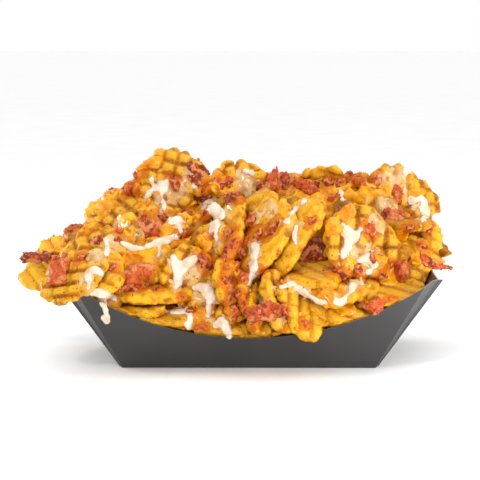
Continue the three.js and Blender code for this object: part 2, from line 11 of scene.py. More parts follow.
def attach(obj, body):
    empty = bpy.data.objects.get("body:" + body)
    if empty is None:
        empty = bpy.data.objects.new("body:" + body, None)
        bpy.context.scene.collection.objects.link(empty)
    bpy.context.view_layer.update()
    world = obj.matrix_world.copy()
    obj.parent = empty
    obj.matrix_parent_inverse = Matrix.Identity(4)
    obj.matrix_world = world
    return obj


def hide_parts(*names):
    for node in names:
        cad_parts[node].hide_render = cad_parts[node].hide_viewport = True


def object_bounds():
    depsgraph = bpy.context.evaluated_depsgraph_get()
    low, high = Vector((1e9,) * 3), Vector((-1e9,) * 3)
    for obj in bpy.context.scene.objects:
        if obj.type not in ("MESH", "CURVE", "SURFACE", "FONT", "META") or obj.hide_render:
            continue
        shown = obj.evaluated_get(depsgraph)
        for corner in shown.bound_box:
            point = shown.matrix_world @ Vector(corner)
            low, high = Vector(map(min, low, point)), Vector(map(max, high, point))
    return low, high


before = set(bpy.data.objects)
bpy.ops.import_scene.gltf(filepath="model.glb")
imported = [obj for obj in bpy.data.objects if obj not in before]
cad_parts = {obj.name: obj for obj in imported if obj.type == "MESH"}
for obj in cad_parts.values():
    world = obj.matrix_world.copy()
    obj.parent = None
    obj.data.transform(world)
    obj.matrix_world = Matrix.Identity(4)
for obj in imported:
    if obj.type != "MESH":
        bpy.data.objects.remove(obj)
CAD_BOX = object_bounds()

MM = 0.001

# The tray, as in the model
TRAY_LENGTH = (152, 220)
TRAY_DEPTH = (90, 150)
TRAY_HEIGHT = 57
DIP_HEIGHT = 20
DIP_REACH = 106
CORNER_CUT = (0.8, 7)
WALL_ROOM = 2.0  # from the tray's outside to the slices inside it

# The heap's core
MOUNDS = (
    ((-58, 2, 38), (62, 45, 47)),
    ((8, 2, 42), (66, 50, 52)),
    ((68, 2, 44), (44, 47, 52)),
)

# The view that the pieces of the front are placed in
VIEW_LIFT = math.radians(12)
VIEW_DISTANCE = 1000
VIEW_AIM = np.array([0, -TRAY_DEPTH[0] / 2, 0.0])
RIDGE_DEPTH = 6
VIEW_BACK = np.array([0, -math.cos(VIEW_LIFT), math.sin(VIEW_LIFT)])
VIEW_UP = np.array([0, math.sin(VIEW_LIFT), math.cos(VIEW_LIFT)])

# Slices of the front: across, up, out, turn, lift, spin, length, width, and how they look:
# o is open lattice, s is shallow ridges, y is bright yellow, b is browner, r hangs over the rim.
FRONT_SLICES = (
    (-47, 110, 4, -8, 14, 50, 47, 41, "o"),
    (-2, 104, 0, 6, 16, -45, 46, 40, "o"),
    (91, 100, 6, 12, 12, -50, 48, 40, "ob"),
    (-78, 92, 4, -22, 38, 15, 44, 38, ""),
    (50, 95, 6, -2, 38, -12, 52, 42, "y"),
    (65, 101, 0, 10, 40, 40, 42, 34, ""),
    (-91, 66, 7, -14, 24, 48, 48, 40, "ob"),
    (-114, 69, 5, -30, 52, 14, 38, 28, "y"),
    (-121, 58, 4, -18, 34, -16, 38, 30, "ry"),
    (-104, 55, 47, -24, 44, 74, 46, 34, "r"),
    (-71, 39, 9, -4, 70, -8, 50, 38, "s"),
    (-58, 48, 7, 6, 76, -4, 48, 38, "s"),
    (-48, 33, 10, 8, 66, 14, 46, 36, "s"),
    (-68, 66, 8, 4, 34, 20, 48, 40, "y"),
    (-48, 82, 4, 6, 40, -10, 44, 36, ""),
    (-32, 49, 13, 10, 6, -60, 48, 38, "ob"),
    (-13, 80, 8, -58, 24, 84, 50, 30, "s"),
    (2, 86, 10, -52, 28, 82, 50, 30, "s"),
    (13, 81, 13, -48, 28, 78, 54, 30, "s"),
    (24, 78, 15, -34, 24, 66, 52, 28, "ys"),
    (-7, 47, 8, 46, 20, 96, 44, 30, ""),
    (7, 34, 12, 54, 26, 104, 46, 30, ""),
    (20, 36, 14, 50, 24, 106, 46, 28, ""),
    (29, 35, 17, 44, 26, 108, 44, 26, "ry"),
    (47, 40, 13, 4, 26, 4, 48, 38, "y"),
    (38, 57, 7, -8, 72, -10, 50, 36, "s"),
    (57, 50, 10, 2, 64, -12, 54, 38, "s"),
    (82, 47, 8, 10, 66, 10, 48, 38, "sb"),
    (68, 73, 13, 6, 8, -58, 50, 40, "ob"),
    (98, 78, 6, 34, 46, 30, 46, 36, "y"),
    (99, 57, 8, 26, 26, 28, 50, 40, "b"),
    (109, 63, 3, 50, 30, -20, 40, 32, ""),
    (-96, 56, 32, -20, 54, 12, 46, 40, ""),
    (-16, 28, 11, 16, 50, 40, 46, 36, "s"),
)
# Slices that only fill in between those of the model's front
EXTRA_SLICES = (
    (-36, 32, 9, 0, 62, 12, 44, 36, "s"),
    (-4, 26, 11, 30, 40, 80, 42, 32, ""),
    (66, 35, 10, 8, 40, 22, 42, 34, "y"),
    (-24, 66, 5, -30, 18, 64, 46, 34, "y"),
    (-27, 97, 3, 2, 34, 30, 42, 36, "y"),
    (24, 98, 0, 4, 36, 20, 46, 36, ""),
    (14, 100, -2, -8, 30, 60, 44, 34, "y"),
    (38, 76, -4, -6, 30, 10, 44, 34, ""),
    (84, 34, 6, 10, 55, 10, 42, 34, ""),
    (-80, 38, 5, -6, 60, 10, 46, 34, "s"),
    (-58, 34, 9, 4, 64, -6, 48, 34, "s"),
)
BACK_SLICES = (
    (70, 78, 6, 4, 48, 24, 46, 38, ""),
    (46, 100, 9, -6, 30, -38, 48, 40, "o"),
    (4, 97, 9, 8, 34, 62, 46, 38, ""),
    (-32, 96, 6, -10, 44, 10, 48, 39, "y"),
    (-62, 98, 8, 4, 36, -55, 45, 37, "b"),
    (-72, 82, 8, -14, 26, 36, 47, 39, "o"),
)
SPREAD_COUNT = 26
SPREAD_FROM = -0.15
SPREAD_RISE = -2
SPREAD_TILT = 26
SPREAD_SIZE = (43, 51)
SPREAD_SHAPE = (0.76, 0.88)
GOLDEN_ANGLE = math.pi * (3 - math.sqrt(5))
RANDOM_SEED = 4781

# Slices deeper in the heap, which show only between the others
FILL_COUNT = 56
FILL_DEPTH = 0.9  # their middles' place, as a share of the mounds' radii
FILL_TILT = 42

# How a slice is cut: middle and height of the wave on each side, how much each side's wave shows
# on the other, and how far the ridges' ends stand out of the outline
RIDGE_PITCH = 9.6
OPEN_CUT = (1.4, 1.2, 0.55, 1.4)
CLOSED_CUT = (2.1, 0.85, 0.35, 0.9)
SHALLOW_CUT = (2.6, 0.28, 0.1, 0.1)
EDGE_ROUND = 2.0


# Small numeric helpers
def random_draws(seed):
    """The same generator of numbers from 0 to 1 as the model's."""
    state = seed & 0xFFFFFFFF

    def draw():
        nonlocal state
        state = (1664525 * state + 1013904223) & 0xFFFFFFFF
        return state / 4294967296

    return draw


def unit(v):
    return v / np.linalg.norm(v)


def lerp(a, b, t):
    return a + (b - a) * t


def ease(value, low, high):
    t = np.clip((value - low) / (high - low), 0, 1)
    return t * t * (3 - 2 * t)


def ripples(points, length, seed, count=7):
    """Smooth noise of about unit height whose waves are near the given length."""
    rng = np.random.default_rng(seed)
    total = np.zeros(points.shape[:-1], dtype=np.float32)
    for _ in range(count):
        way = unit(rng.normal(size=3)) * 2 * math.pi / (length * rng.uniform(0.6, 1.5))
        total += np.sin(points @ way.astype(np.float32) + rng.uniform(0, 2 * math.pi))
    return total / math.sqrt(count / 2)


# Where things lie
def view_ray(across, up, behind=False):
    eye = VIEW_AIM + VIEW_BACK * VIEW_DISTANCE
    side = -across if behind else across
    way = unit(VIEW_AIM + VIEW_UP * up + np.array([side, 0, 0]) - eye)
    flip = np.array([-1, -1, 1]) if behind else np.ones(3)
    return eye * flip, way * flip


def on_mounds(origin, way):
    nearest = math.inf
    for at, radii in MOUNDS:
        start = (origin - np.array(at)) / np.array(radii)
        step = way / np.array(radii)
        a, b = step @ step, start @ step
        inside = b * b - a * (start @ start - 1)
        if inside > 0:
            nearest = min(nearest, (-b - math.sqrt(inside)) / a)
    return min(nearest, (RIDGE_DEPTH - origin[1]) / way[1])


def rim_height(x, y):
    sagitta = TRAY_HEIGHT - DIP_HEIGHT
    radius = (DIP_REACH**2 + sagitta**2) / (2 * sagitta)
    dip = DIP_HEIGHT + radius - np.sqrt(np.maximum(radius**2 - np.square(x), 1))
    level = (np.abs(x) > DIP_REACH) | (np.abs(y) < TRAY_DEPTH[0] / 2)
    return np.where(level, TRAY_HEIGHT, dip)


def with_details(s, draw):
    s["grain"] = math.radians(20 + 50 * draw())
    s["shift"] = (2 * math.pi * draw(), 2 * math.pi * draw())
    s["phase"] = (2 * math.pi * draw(), 2 * math.pi * draw())
    s["bend"] = (0.004 * (2 * draw() - 0.7), 0.003 * (2 * draw() - 1))
    return s


def listed_slices(rows, behind, draw):
    found = []
    for across, up, out, turn, lift, spin, length, width, look in rows:
        origin, way = view_ray(across, up, behind)
        at = origin + way * (on_mounds(origin, way) - out)
        s = dict(at=at, turn=turn + 180 * behind, lift=lift, spin=spin, size=(length, width), look=look)
        found.append(with_details(s, draw))
    return found


def spread_slices(draw, count, share, tilt, everywhere=False):
    found = []
    for m, (middle, radii) in enumerate(MOUNDS):
        middle, radii = np.array(middle), np.array(radii)
        for i in range(count):
            height = 1 - (2 * (i + 0.5)) / count
            flat = math.sqrt(1 - height * height)
            angle = i * GOLDEN_ANGLE
            way = np.array([flat * math.cos(angle), flat * math.sin(angle), height])
            face = unit(way / radii)
            at = way * radii * share + middle + face * 3
            draws = [draw() for _ in range(5)]
            if not everywhere and way[1] < SPREAD_FROM + 0.35 * max(0, height):
                continue
            others = [o for o in range(len(MOUNDS)) if o != m]
            deep = [np.linalg.norm((at - np.array(MOUNDS[o][0])) / np.array(MOUNDS[o][1])) for o in others]
            if min(deep) < 0.97 * share:
                continue
            if at[2] < rim_height(at[0], at[1]) + (SPREAD_RISE if not everywhere else -12):
                continue
            turn = math.degrees(math.atan2(face[0], -face[1])) + tilt * (2 * draws[0] - 1)
            lift = math.degrees(math.asin(face[2])) + tilt * (2 * draws[1] - 1)
            length = lerp(*SPREAD_SIZE, draws[2])
            size = (length, length * lerp(*SPREAD_SHAPE, draws[3]))
            look = ("", "o", "y", "b", "", "s")[int(6 * draws[4])]
            s = dict(at=at, turn=turn, lift=lift, spin=180 * draws[4], size=size, look=look)
            found.append(with_details(s, draw))
    return found


def rim_slices(draw):
    """Slices that lean on the long walls just under the rim."""
    found = []
    for side in (-1, 1):
        for x in range(-92, 93, 20):
            x = x + 8 * (draw() - 0.5)
            z = float(rim_height(x, 1e3)) - 3
            y = side * (lerp(*TRAY_DEPTH, z / TRAY_HEIGHT) / 2 - 12)
            turn = (0 if side < 0 else 180) + 40 * (draw() - 0.5)
            s = dict(at=np.array([x, y, z]), turn=turn, lift=52 + 30 * (draw() - 0.5), spin=180 * draw())
            s.update(size=(44, 36), look=("s", "s", "")[int(3 * draw())])
            found.append(with_details(s, draw))
    return found


def frame_of(s):
    t, l, p = (math.radians(s[k]) for k in ("turn", "lift", "spin"))
    face = np.array([math.sin(t) * math.cos(l), -math.cos(t) * math.cos(l), math.sin(l)])
    level = np.array([math.cos(t), math.sin(t), 0])
    rise = np.cross(face, level)
    along = level * math.cos(p) + rise * math.sin(p)
    return np.stack([along, np.cross(face, along), face])


def keep_in_tray(points):
    """Moves what is below the rim to the inner side of the tray's walls and cut corners."""
    x, y, z = points[:, 0].copy(), points[:, 1].copy(), points[:, 2]
    share = z / TRAY_HEIGHT
    halves = [lerp(sizes[0], sizes[1], share) / 2 - WALL_ROOM for sizes in (TRAY_LENGTH, TRAY_DEPTH)]
    for axis, half, rim in ((0, halves[0], TRAY_HEIGHT + 0 * x), (1, halves[1], rim_height(x, 1e3))):
        room = half + 14 * np.clip((z - rim - 0.6) / 4, 0, 1) ** 2
        room = np.where(z > rim + 4.6, 1e3, room)
        points[:, axis] = np.clip(points[:, axis], -room, room)
    beyond = np.abs(points[:, 0]) - halves[0] + np.abs(points[:, 1]) - halves[1] + lerp(*CORNER_CUT, share)
    back = np.where(z < TRAY_HEIGHT + 1, np.maximum(beyond, 0) / 2, 0)
    for axis in (0, 1):
        points[:, axis] -= np.sign(points[:, axis]) * back
    points[:, 2] = np.maximum(points[:, 2], 1.6)
    return points


# Slices
def ridges(angle):
    """A wave from -1 to 1 with round crests and narrow grooves."""
    return 2 * np.abs(np.cos(angle / 2)) ** 0.85 - 1


def slice_mesh(s, step):
    """Points, faces and a colour for each point: the slice's own tone, how near a crest, how near its rim."""
    length, width = s["size"]
    look = s["look"]
    cut = OPEN_CUT if "o" in look else SHALLOW_CUT if "s" in look else CLOSED_CUT
    middle, height, through, scallop = cut
    xs = np.arange(-length / 2 - 2 * step, length / 2 + 2.1 * step, step)
    ys = np.arange(-width / 2 - 2 * step, width / 2 + 2.1 * step, step)
    X, Y = np.meshgrid(xs, ys, indexing="ij")
    angle = np.arctan2(Y, X)
    c = np.abs(np.cos(angle) / (length / 2))
    q = np.abs(np.sin(angle) / (width / 2))
    oval = 1 / (c**2.4 + q**2.4) ** (1 / 2.4)
    oval *= 1 + 0.05 * np.sin(2 * angle + s["phase"][0]) + 0.04 * np.sin(3 * angle + s["phase"][1])
    rough = 0.3 if "s" in look else 1
    oval += rough * (0.35 * np.sin(9 * angle + s["phase"][0]) + 0.25 * np.sin(14 * angle + s["phase"][1]))
    k = 2 * math.pi / (RIDGE_PITCH * (0.8 + 0.16 * s["grain"]))
    cg, sg = math.cos(s["grain"]), math.sin(s["grain"])
    wob = 0.35 * np.sin(0.11 * X + s["phase"][0]) + 0.35 * np.sin(0.13 * Y + s["phase"][1])
    top_wave = ridges(k * (X * cg + Y * sg) + s["shift"][0] + wob)
    low_wave = ridges(k * (-X * sg + Y * cg) + s["shift"][1] - wob)
    inside = oval - np.hypot(X, Y)
    for way, depth in zip(s["phase"], s["shift"]):
        reach = (abs(math.cos(way) / (length / 2)) ** 2.4 + abs(math.sin(way) / (width / 2)) ** 2.4) ** (-1 / 2.4)
        broken = reach * (0.84 + 0.08 * math.sin(depth)) - X * math.cos(way) - Y * math.sin(way)
        broken += 0.5 * np.sin(0.9 * (Y * math.cos(way) - X * math.sin(way)) + depth)
        inside = np.minimum(inside, broken)
    inside += scallop * (np.maximum(top_wave, low_wave) - 0.5)
    worn = height * (1 + 0.35 * np.sin(0.21 * X + s["phase"][1]) * np.sin(0.19 * Y + s["phase"][0]))
    top = middle + worn * (top_wave + through * low_wave)
    low = -(middle + worn * (low_wave + through * top_wave))
    thick = top - low
    G = np.minimum(inside, 1.3 * thick)
    half = np.maximum(thick, 0.02) / 2
    half = np.sqrt(half * half + 0.9 * half)
    edge = np.clip(inside / EDGE_ROUND, 0, 1)
    half = half * np.sqrt(np.maximum(1 - (1 - edge) ** 2, 0))
    mid = (top + low) / 2
    wave = 0.7 * np.sin(0.09 * X + s["shift"][0]) * np.sin(0.1 * Y + s["shift"][1])
    mid = mid + wave - s["bend"][0] * X * X - s["bend"][1] * Y * Y

    gx, gy = np.gradient(G, step)
    centre = (G[1:, 1:] + G[:-1, 1:] + G[1:, :-1] + G[:-1, :-1]) / 4
    cell = centre > 0.1 * step
    used = np.zeros_like(G, dtype=int)
    for a in (slice(None, -1), slice(1, None)):
        for b in (slice(None, -1), slice(1, None)):
            used[a, b] += cell
    border = (used > 0) & (used < 4)
    pull = np.where(border, G / (gx * gx + gy * gy + 0.05), 0)
    move = np.clip(-pull[..., None] * np.stack([gx, gy], -1), -0.8 * step, 0.8 * step)
    X, Y = X + move[..., 0], Y + move[..., 1]

    index_top = np.full(G.shape, -1)
    index_top[used > 0] = np.arange(np.count_nonzero(used))
    index_low = index_top.copy()
    inner = used == 4
    first = np.count_nonzero(used)
    index_low[inner] = first + np.arange(np.count_nonzero(inner))
    half = np.where(border, 0, half)
    up_pts = np.stack([X, Y, mid + half], -1)[used > 0]
    low_pts = np.stack([X, Y, mid - half], -1)[inner]
    points = np.concatenate([up_pts, low_pts])

    i, j = np.nonzero(cell)
    corners = ((i, j), (i + 1, j), (i + 1, j + 1), (i, j + 1))
    faces_top = np.stack([index_top[a, b] for a, b in corners], -1)
    faces_low = np.stack([index_low[a, b] for a, b in corners[::-1]], -1)
    faces = np.concatenate([faces_top, faces_low])

    rim = 1 - np.clip(inside / 3.4, 0, 1)
    crests = [(1 + wave) / 2 for wave in (top_wave, low_wave)]
    crest = [np.minimum(a, 1 - 1.4 * through * (1 - b)) for a, b in (crests, crests[::-1])]
    crest = [0.6 + (one - 0.6) * min(1, height / 0.95) for one in crest]
    colour_top = np.stack([np.full_like(X, s["tone"]), crest[0], rim], -1)[used > 0]
    colour_low = np.stack([np.full_like(X, s["tone"]), crest[1], rim], -1)[inner]
    colours = np.concatenate([colour_top, colour_low])

    bumps = ripples(points.astype(np.float32), 3.2, s["seed"]) * 0.17
    points[:, 2] += bumps * np.where(rim_of(points, index_top, used), 0.3, 1)
    placed = points @ frame_of(s) + s["at"]
    if "r" not in look:
        placed = keep_in_tray(placed)
    return placed.astype(np.float32), faces.astype(np.uint32), colours


def rim_of(points, index_top, used):
    flags = np.zeros(len(points), dtype=bool)
    flags[: np.count_nonzero(used)] = (used < 4)[used > 0]
    return flags


def merged(parts):
    points, faces, colours, first = [], [], [], 0
    for p, f, c in parts:
        points.append(p)
        faces.append(f + first)
        colours.append(c)
        first += len(p)
    return np.concatenate(points), np.concatenate(faces), np.concatenate(colours)


def make_piece(name, points, quads, material, replaced, tris=None, colours=None, coat=None, smooth=True):
    """A mesh piece of the part. Points are in millimetres."""
    mesh = bpy.data.meshes.new(name)
    points = np.clip(np.asarray(points, dtype=np.float32) * MM, *CAD_BOX)
    mesh.vertices.add(len(points))
    mesh.vertices.foreach_set("co", points.ravel())
    groups = [g for g in (quads, tris) if g is not None and len(g)]
    loops = np.concatenate([g.ravel() for g in groups]).astype(np.int32)
    sizes = np.concatenate([np.full(len(g), g.shape[1]) for g in groups])
    starts = np.concatenate([[0], np.cumsum(sizes)[:-1]]).astype(np.int32)
    mesh.loops.add(len(loops))
    mesh.loops.foreach_set("vertex_index", loops)
    mesh.polygons.add(len(sizes))
    mesh.polygons.foreach_set("loop_start", starts)
    mesh.update(calc_edges=True)
    mesh.validate()
    mesh.polygons.foreach_set("use_smooth", np.full(len(mesh.polygons), smooth))
    for title, values in (("tint", colours), ("coat", coat)):
        if values is not None:
            layer = mesh.color_attributes.new(title, "FLOAT_COLOR", "POINT")
            rgba = np.ones((len(points), 4), dtype=np.float32)
            rgba[:, :3] = values
            layer.data.foreach_set("color", rgba.ravel())
    mesh.materials.append(material)
    piece = bpy.data.objects.new(name, mesh)
    bpy.context.scene.collection.objects.link(piece)
    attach(piece, "root")
    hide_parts(*replaced)
    return piece


# Materials
class Shade:
    """A material whose nodes are made by short calls. Sockets and plain values both serve as inputs."""

    def __init__(self, name, **constants):
        self.material = bpy.data.materials.new(name)
        self.material.use_nodes = True
        self.tree = self.material.node_tree
        self.shader = self.tree.nodes["Principled BSDF"]
        self.at = self.add("ShaderNodeTexCoord").outputs["Object"]
        for key, value in constants.items():
            self.shader.inputs[key.replace("_", " ")].default_value = value

    def add(self, kind, settings=(), **inputs):
        node = self.tree.nodes.new(kind)
        for key, value in dict(settings).items():
            setattr(node, key, value)
        for key, value in inputs.items():
            self.put(node.inputs[key.replace("_", " ")], value)
        return node

    def put(self, socket, value):
        if isinstance(value, bpy.types.NodeSocket):
            self.tree.links.new(value, socket)
        elif isinstance(value, tuple) and len(value) == 3 and socket.type == "RGBA":
            socket.default_value = (*value, 1)
        else:
            socket.default_value = value

    def noise(self, size, detail=3.0, roughness=0.55, stretch=None):
        """Cloud noise with features of about the given size in millimetres."""
        vector = self.at
        if stretch:
            vector = self.add("ShaderNodeMapping", Vector=vector, Scale=stretch).outputs[0]
        node = self.add("ShaderNodeTexNoise", Vector=vector, Scale=1 / (size * MM), Detail=detail)
        node.inputs["Roughness"].default_value = roughness
        return node.outputs["Fac"]

    def cells(self, size, feature="F1"):
        node = self.add("ShaderNodeTexVoronoi", {"feature": feature}, Vector=self.at, Scale=1 / (size * MM))
        return node.outputs["Distance"], node.outputs["Color"]

    def span(self, value, low, high, a=0.0, b=1.0):
        node = self.add("ShaderNodeMapRange", {"interpolation_type": "SMOOTHSTEP"}, Value=value)
        for key, number in (("From Min", low), ("From Max", high), ("To Min", a), ("To Max", b)):
            node.inputs[key].default_value = number
        return node.outputs[0]

    def math(self, operation, a, b=0.0):
        node = self.add("ShaderNodeMath", {"operation": operation})
        self.put(node.inputs[0], a)
        self.put(node.inputs[1], b)
        return node.outputs[0]

    def mix(self, factor, a, b, blend="MIX"):
        node = self.add("ShaderNodeMix", {"data_type": "RGBA", "blend_type": blend})
        self.put(node.inputs[0], factor)
        self.put(node.inputs[6], a)
        self.put(node.inputs[7], b)
        return node.outputs[2]

    def values(self, title):
        """The three numbers that each point of the mesh carries under a title."""
        node = self.add("ShaderNodeAttribute", {"attribute_name": title})
        return self.add("ShaderNodeSeparateColor", Color=node.outputs["Color"]).outputs

    def bump(self, height, depth, after=None):
        node = self.add("ShaderNodeBump", Height=height, Distance=depth * MM, Strength=1.0)
        if after:
            self.put(node.inputs["Normal"], after)
        return node.outputs[0]

    def finish(self, colour, roughness=None, normal=None):
        self.put(self.shader.inputs["Base Color"], colour)
        if roughness is not None:
            self.put(self.shader.inputs["Roughness"], roughness)
        if normal is not None:
            self.put(self.shader.inputs["Normal"], normal)
        return self.material


def fry_material(name, dark, mid, light, crest, amber, rim_colour):
    m = Shade(name, Subsurface_Weight=0.06, Subsurface_Scale=0.0015, Specular_IOR_Level=0.06, Coat_Weight=0.16)
    m.shader.inputs["Subsurface Radius"].default_value = (1.0, 0.45, 0.1)
    m.shader.inputs["Coat Roughness"].default_value = 0.07
    tone, ridge, rim = m.values("tint")[:3]
    # The coat attribute's first number, deep, drives the painted shade in the gaps between slices
    deep, film, stain = m.values("coat")[:3]
    base = m.mix(m.span(m.noise(15, 3), 0.4, 0.6), dark, mid)
    base = m.mix(m.span(tone, 0.35, 0.9), base, light)
    base = m.mix(m.span(tone, 0.0, 0.35, 0.75, 0.0), base, dark)
    base = m.mix(m.span(m.noise(11, 2), 0.5, 0.64, 0.0, 0.6), base, amber)
    # Painted highlight and shade: lighter yellow on the ridge crests, darker in the grooves between them
    base = m.mix(m.math("MULTIPLY", m.span(ridge, 0.35, 0.85), 0.75), base, crest)
    base = m.mix(m.span(ridge, 0.05, 0.4, 0.7, 0.0), base, dark)
    base = m.mix(m.span(rim, 0.35, 0.9, 0.0, 0.55), base, light)
    toast = m.math("MULTIPLY", m.span(rim, 0.1, 0.9), m.span(m.noise(6, 3), 0.46, 0.66))
    base = m.mix(m.math("MULTIPLY", toast, 0.9), base, rim_colour)
    base = m.mix(m.span(m.noise(2.4, 4), 0.52, 0.78, 0.0, 0.4), base, rim_colour)
    base = m.mix(m.span(m.noise(1.6, 3), 0.5, 0.7, 0.0, 0.4), base, crest)
    fat = m.span(m.math("ADD", stain, m.math("MULTIPLY", m.noise(3.5, 4), 0.9)), 0.85, 1.2)
    base = m.mix(m.math("MULTIPLY", fat, 0.65), base, (0.56, 0.09, 0.002))
    # Painted shade: dark gap brown where the point lies deep in a gap between slices
    base = m.mix(m.span(deep, 0.1, 0.85, 0.0, 0.92), base, (0.15, 0.019, 0.001))
    thin = m.span(m.math("ADD", film, m.math("MULTIPLY", m.noise(3, 4), 1.3)), 0.95, 1.3)
    base = m.mix(m.math("MULTIPLY", thin, 0.35), base, (0.66, 0.40, 0.17))
    distance, _ = m.cells(2.6)
    fleck = m.math("MULTIPLY", m.span(distance, 0.1, 0.17, 1.0, 0.0), m.span(m.noise(9, 1), 0.5, 0.55))
    base = m.mix(m.math("MULTIPLY", fleck, 0.85), base, (0.05, 0.025, 0.01))
    height = m.math("ADD", m.noise(1.1, 4), m.math("MULTIPLY", m.noise(4, 3), 1.2))
    rough = m.mix(thin, m.span(m.noise(5, 2), 0.3, 0.7, 0.3, 0.5), (0.16, 0.16, 0.16))
    return m.finish(base, rough, m.bump(height, 0.4))


def sauce_material(name, thin, full, deep, roughness, bump, flecks, gloss):
    m = Shade(name, Subsurface_Weight=0.15, Subsurface_Scale=0.0015, Specular_IOR_Level=gloss, Coat_Weight=0.4)
    m.shader.inputs["Coat Roughness"].default_value = 0.1
    m.shader.inputs["Subsurface Radius"].default_value = (1.0, 0.6, 0.3)
    edge = m.values("tint")[1]
    base = m.mix(m.span(m.noise(8, 3), 0.38, 0.62), full, deep)
    base = m.mix(m.span(m.noise(2.6, 3), 0.5, 0.72, 0.0, 0.5), base, full)
    base = m.mix(m.span(edge, 0.0, 1.0), thin, base)
    distance, _ = m.cells(3.0)
    fleck = m.math("MULTIPLY", m.span(distance, 0.08, 0.15, 1.0, 0.0), m.span(m.noise(7, 1), 0.5, 0.55))
    base = m.mix(m.math("MULTIPLY", fleck, flecks), base, (0.06, 0.03, 0.012))
    height = m.math("ADD", m.noise(2.5, 3), m.math("MULTIPLY", m.noise(7, 2), 1.6))
    return m.finish(base, m.span(m.noise(4, 2), 0.3, 0.7, roughness, roughness + 0.12), m.bump(height, bump))


def bacon_material():
    m = Shade("bacon_meat", Subsurface_Weight=0.06, Subsurface_Scale=0.0012, Specular_IOR_Level=0.1, Coat_Weight=0.3)
    m.shader.inputs["Coat Roughness"].default_value = 0.15
    m.shader.inputs["Subsurface Radius"].default_value = (1.0, 0.25, 0.12)
    tone, layer, depth = m.values("tint")[:3]
    lean = m.mix(m.span(tone, 0.1, 0.9), (0.20, 0.025, 0.007), (0.58, 0.082, 0.016))
    lean = m.mix(m.span(m.noise(2.2, 4), 0.48, 0.65), lean, (0.66, 0.14, 0.020))
    fat = m.mix(m.noise(2.5, 2), (0.72, 0.30, 0.11), (0.62, 0.17, 0.04))
    streak = m.span(m.math("ADD", layer, m.math("MULTIPLY", m.noise(3, 3), 1.2)), 1.35, 1.55)
    base = m.mix(streak, lean, fat)
    base = m.mix(m.span(m.noise(1.6, 4), 0.54, 0.70, 0.0, 0.55), base, (0.15, 0.020, 0.005))
    height = m.math("ADD", m.noise(0.9, 4), m.math("MULTIPLY", m.noise(2.2, 3), 1.6))
    return m.finish(base, m.span(m.noise(3, 2), 0.3, 0.7, 0.25, 0.5), m.bump(height, 0.8))


def board_material(name, dark, light, roughness):
    m = Shade(name, Specular_IOR_Level=0.5)
    base = m.mix(m.noise(40, 2), dark, light)
    base = m.mix(m.span(m.noise(0.35, 3, stretch=(1, 1, 0.35)), 0.55, 0.8, 0.0, 0.5), base, light)
    height = m.math("ADD", m.noise(0.5, 3), m.math("MULTIPLY", m.noise(26, 2), 3.0))
    return m.finish(base, m.span(m.noise(12, 3), 0.3, 0.7, roughness, roughness + 0.12), m.bump(height, 0.05))


def plain_material(name, a, b, size, roughness, bump):
    m = Shade(name, Specular_IOR_Level=0.4)
    return m.finish(m.mix(m.span(m.noise(size, 3), 0.35, 0.65), a, b), roughness, m.bump(m.noise(size / 3, 3), bump))


HEAP = ("waffle_fries",)

# The slices of the heap
slices = listed_slices(FRONT_SLICES, False, random_draws(RANDOM_SEED))
slices += listed_slices(BACK_SLICES, True, random_draws(RANDOM_SEED + 1))
slices += spread_slices(random_draws(RANDOM_SEED + 2), SPREAD_COUNT, 1.0, SPREAD_TILT)
slices += listed_slices(EXTRA_SLICES, False, random_draws(41))
fill = spread_slices(random_draws(77), FILL_COUNT, FILL_DEPTH, FILL_TILT, everywhere=True)
fill += rim_slices(random_draws(91))
tones = random_draws(12)
for number, s in enumerate(slices + fill):
    s["seed"] = number
    s["tone"] = 0.05 + 0.65 * tones() + 0.4 * ("y" in s["look"]) - 0.15 * ("b" in s["look"])

STEP = 1.15
FILL_STEP = 2.2
parts = {"fries_open": [], "fries_ridged": [], "fries_smooth": []}
for s in slices:
    kind = "fries_open" if "o" in s["look"] else "fries_smooth" if "s" in s["look"] else "fries_ridged"
    parts[kind].append(slice_mesh(s, STEP))
parts["fries_inner"] = [slice_mesh(s, FILL_STEP) for s in fill]
meshes = {name: merged(found) for name, found in parts.items()}


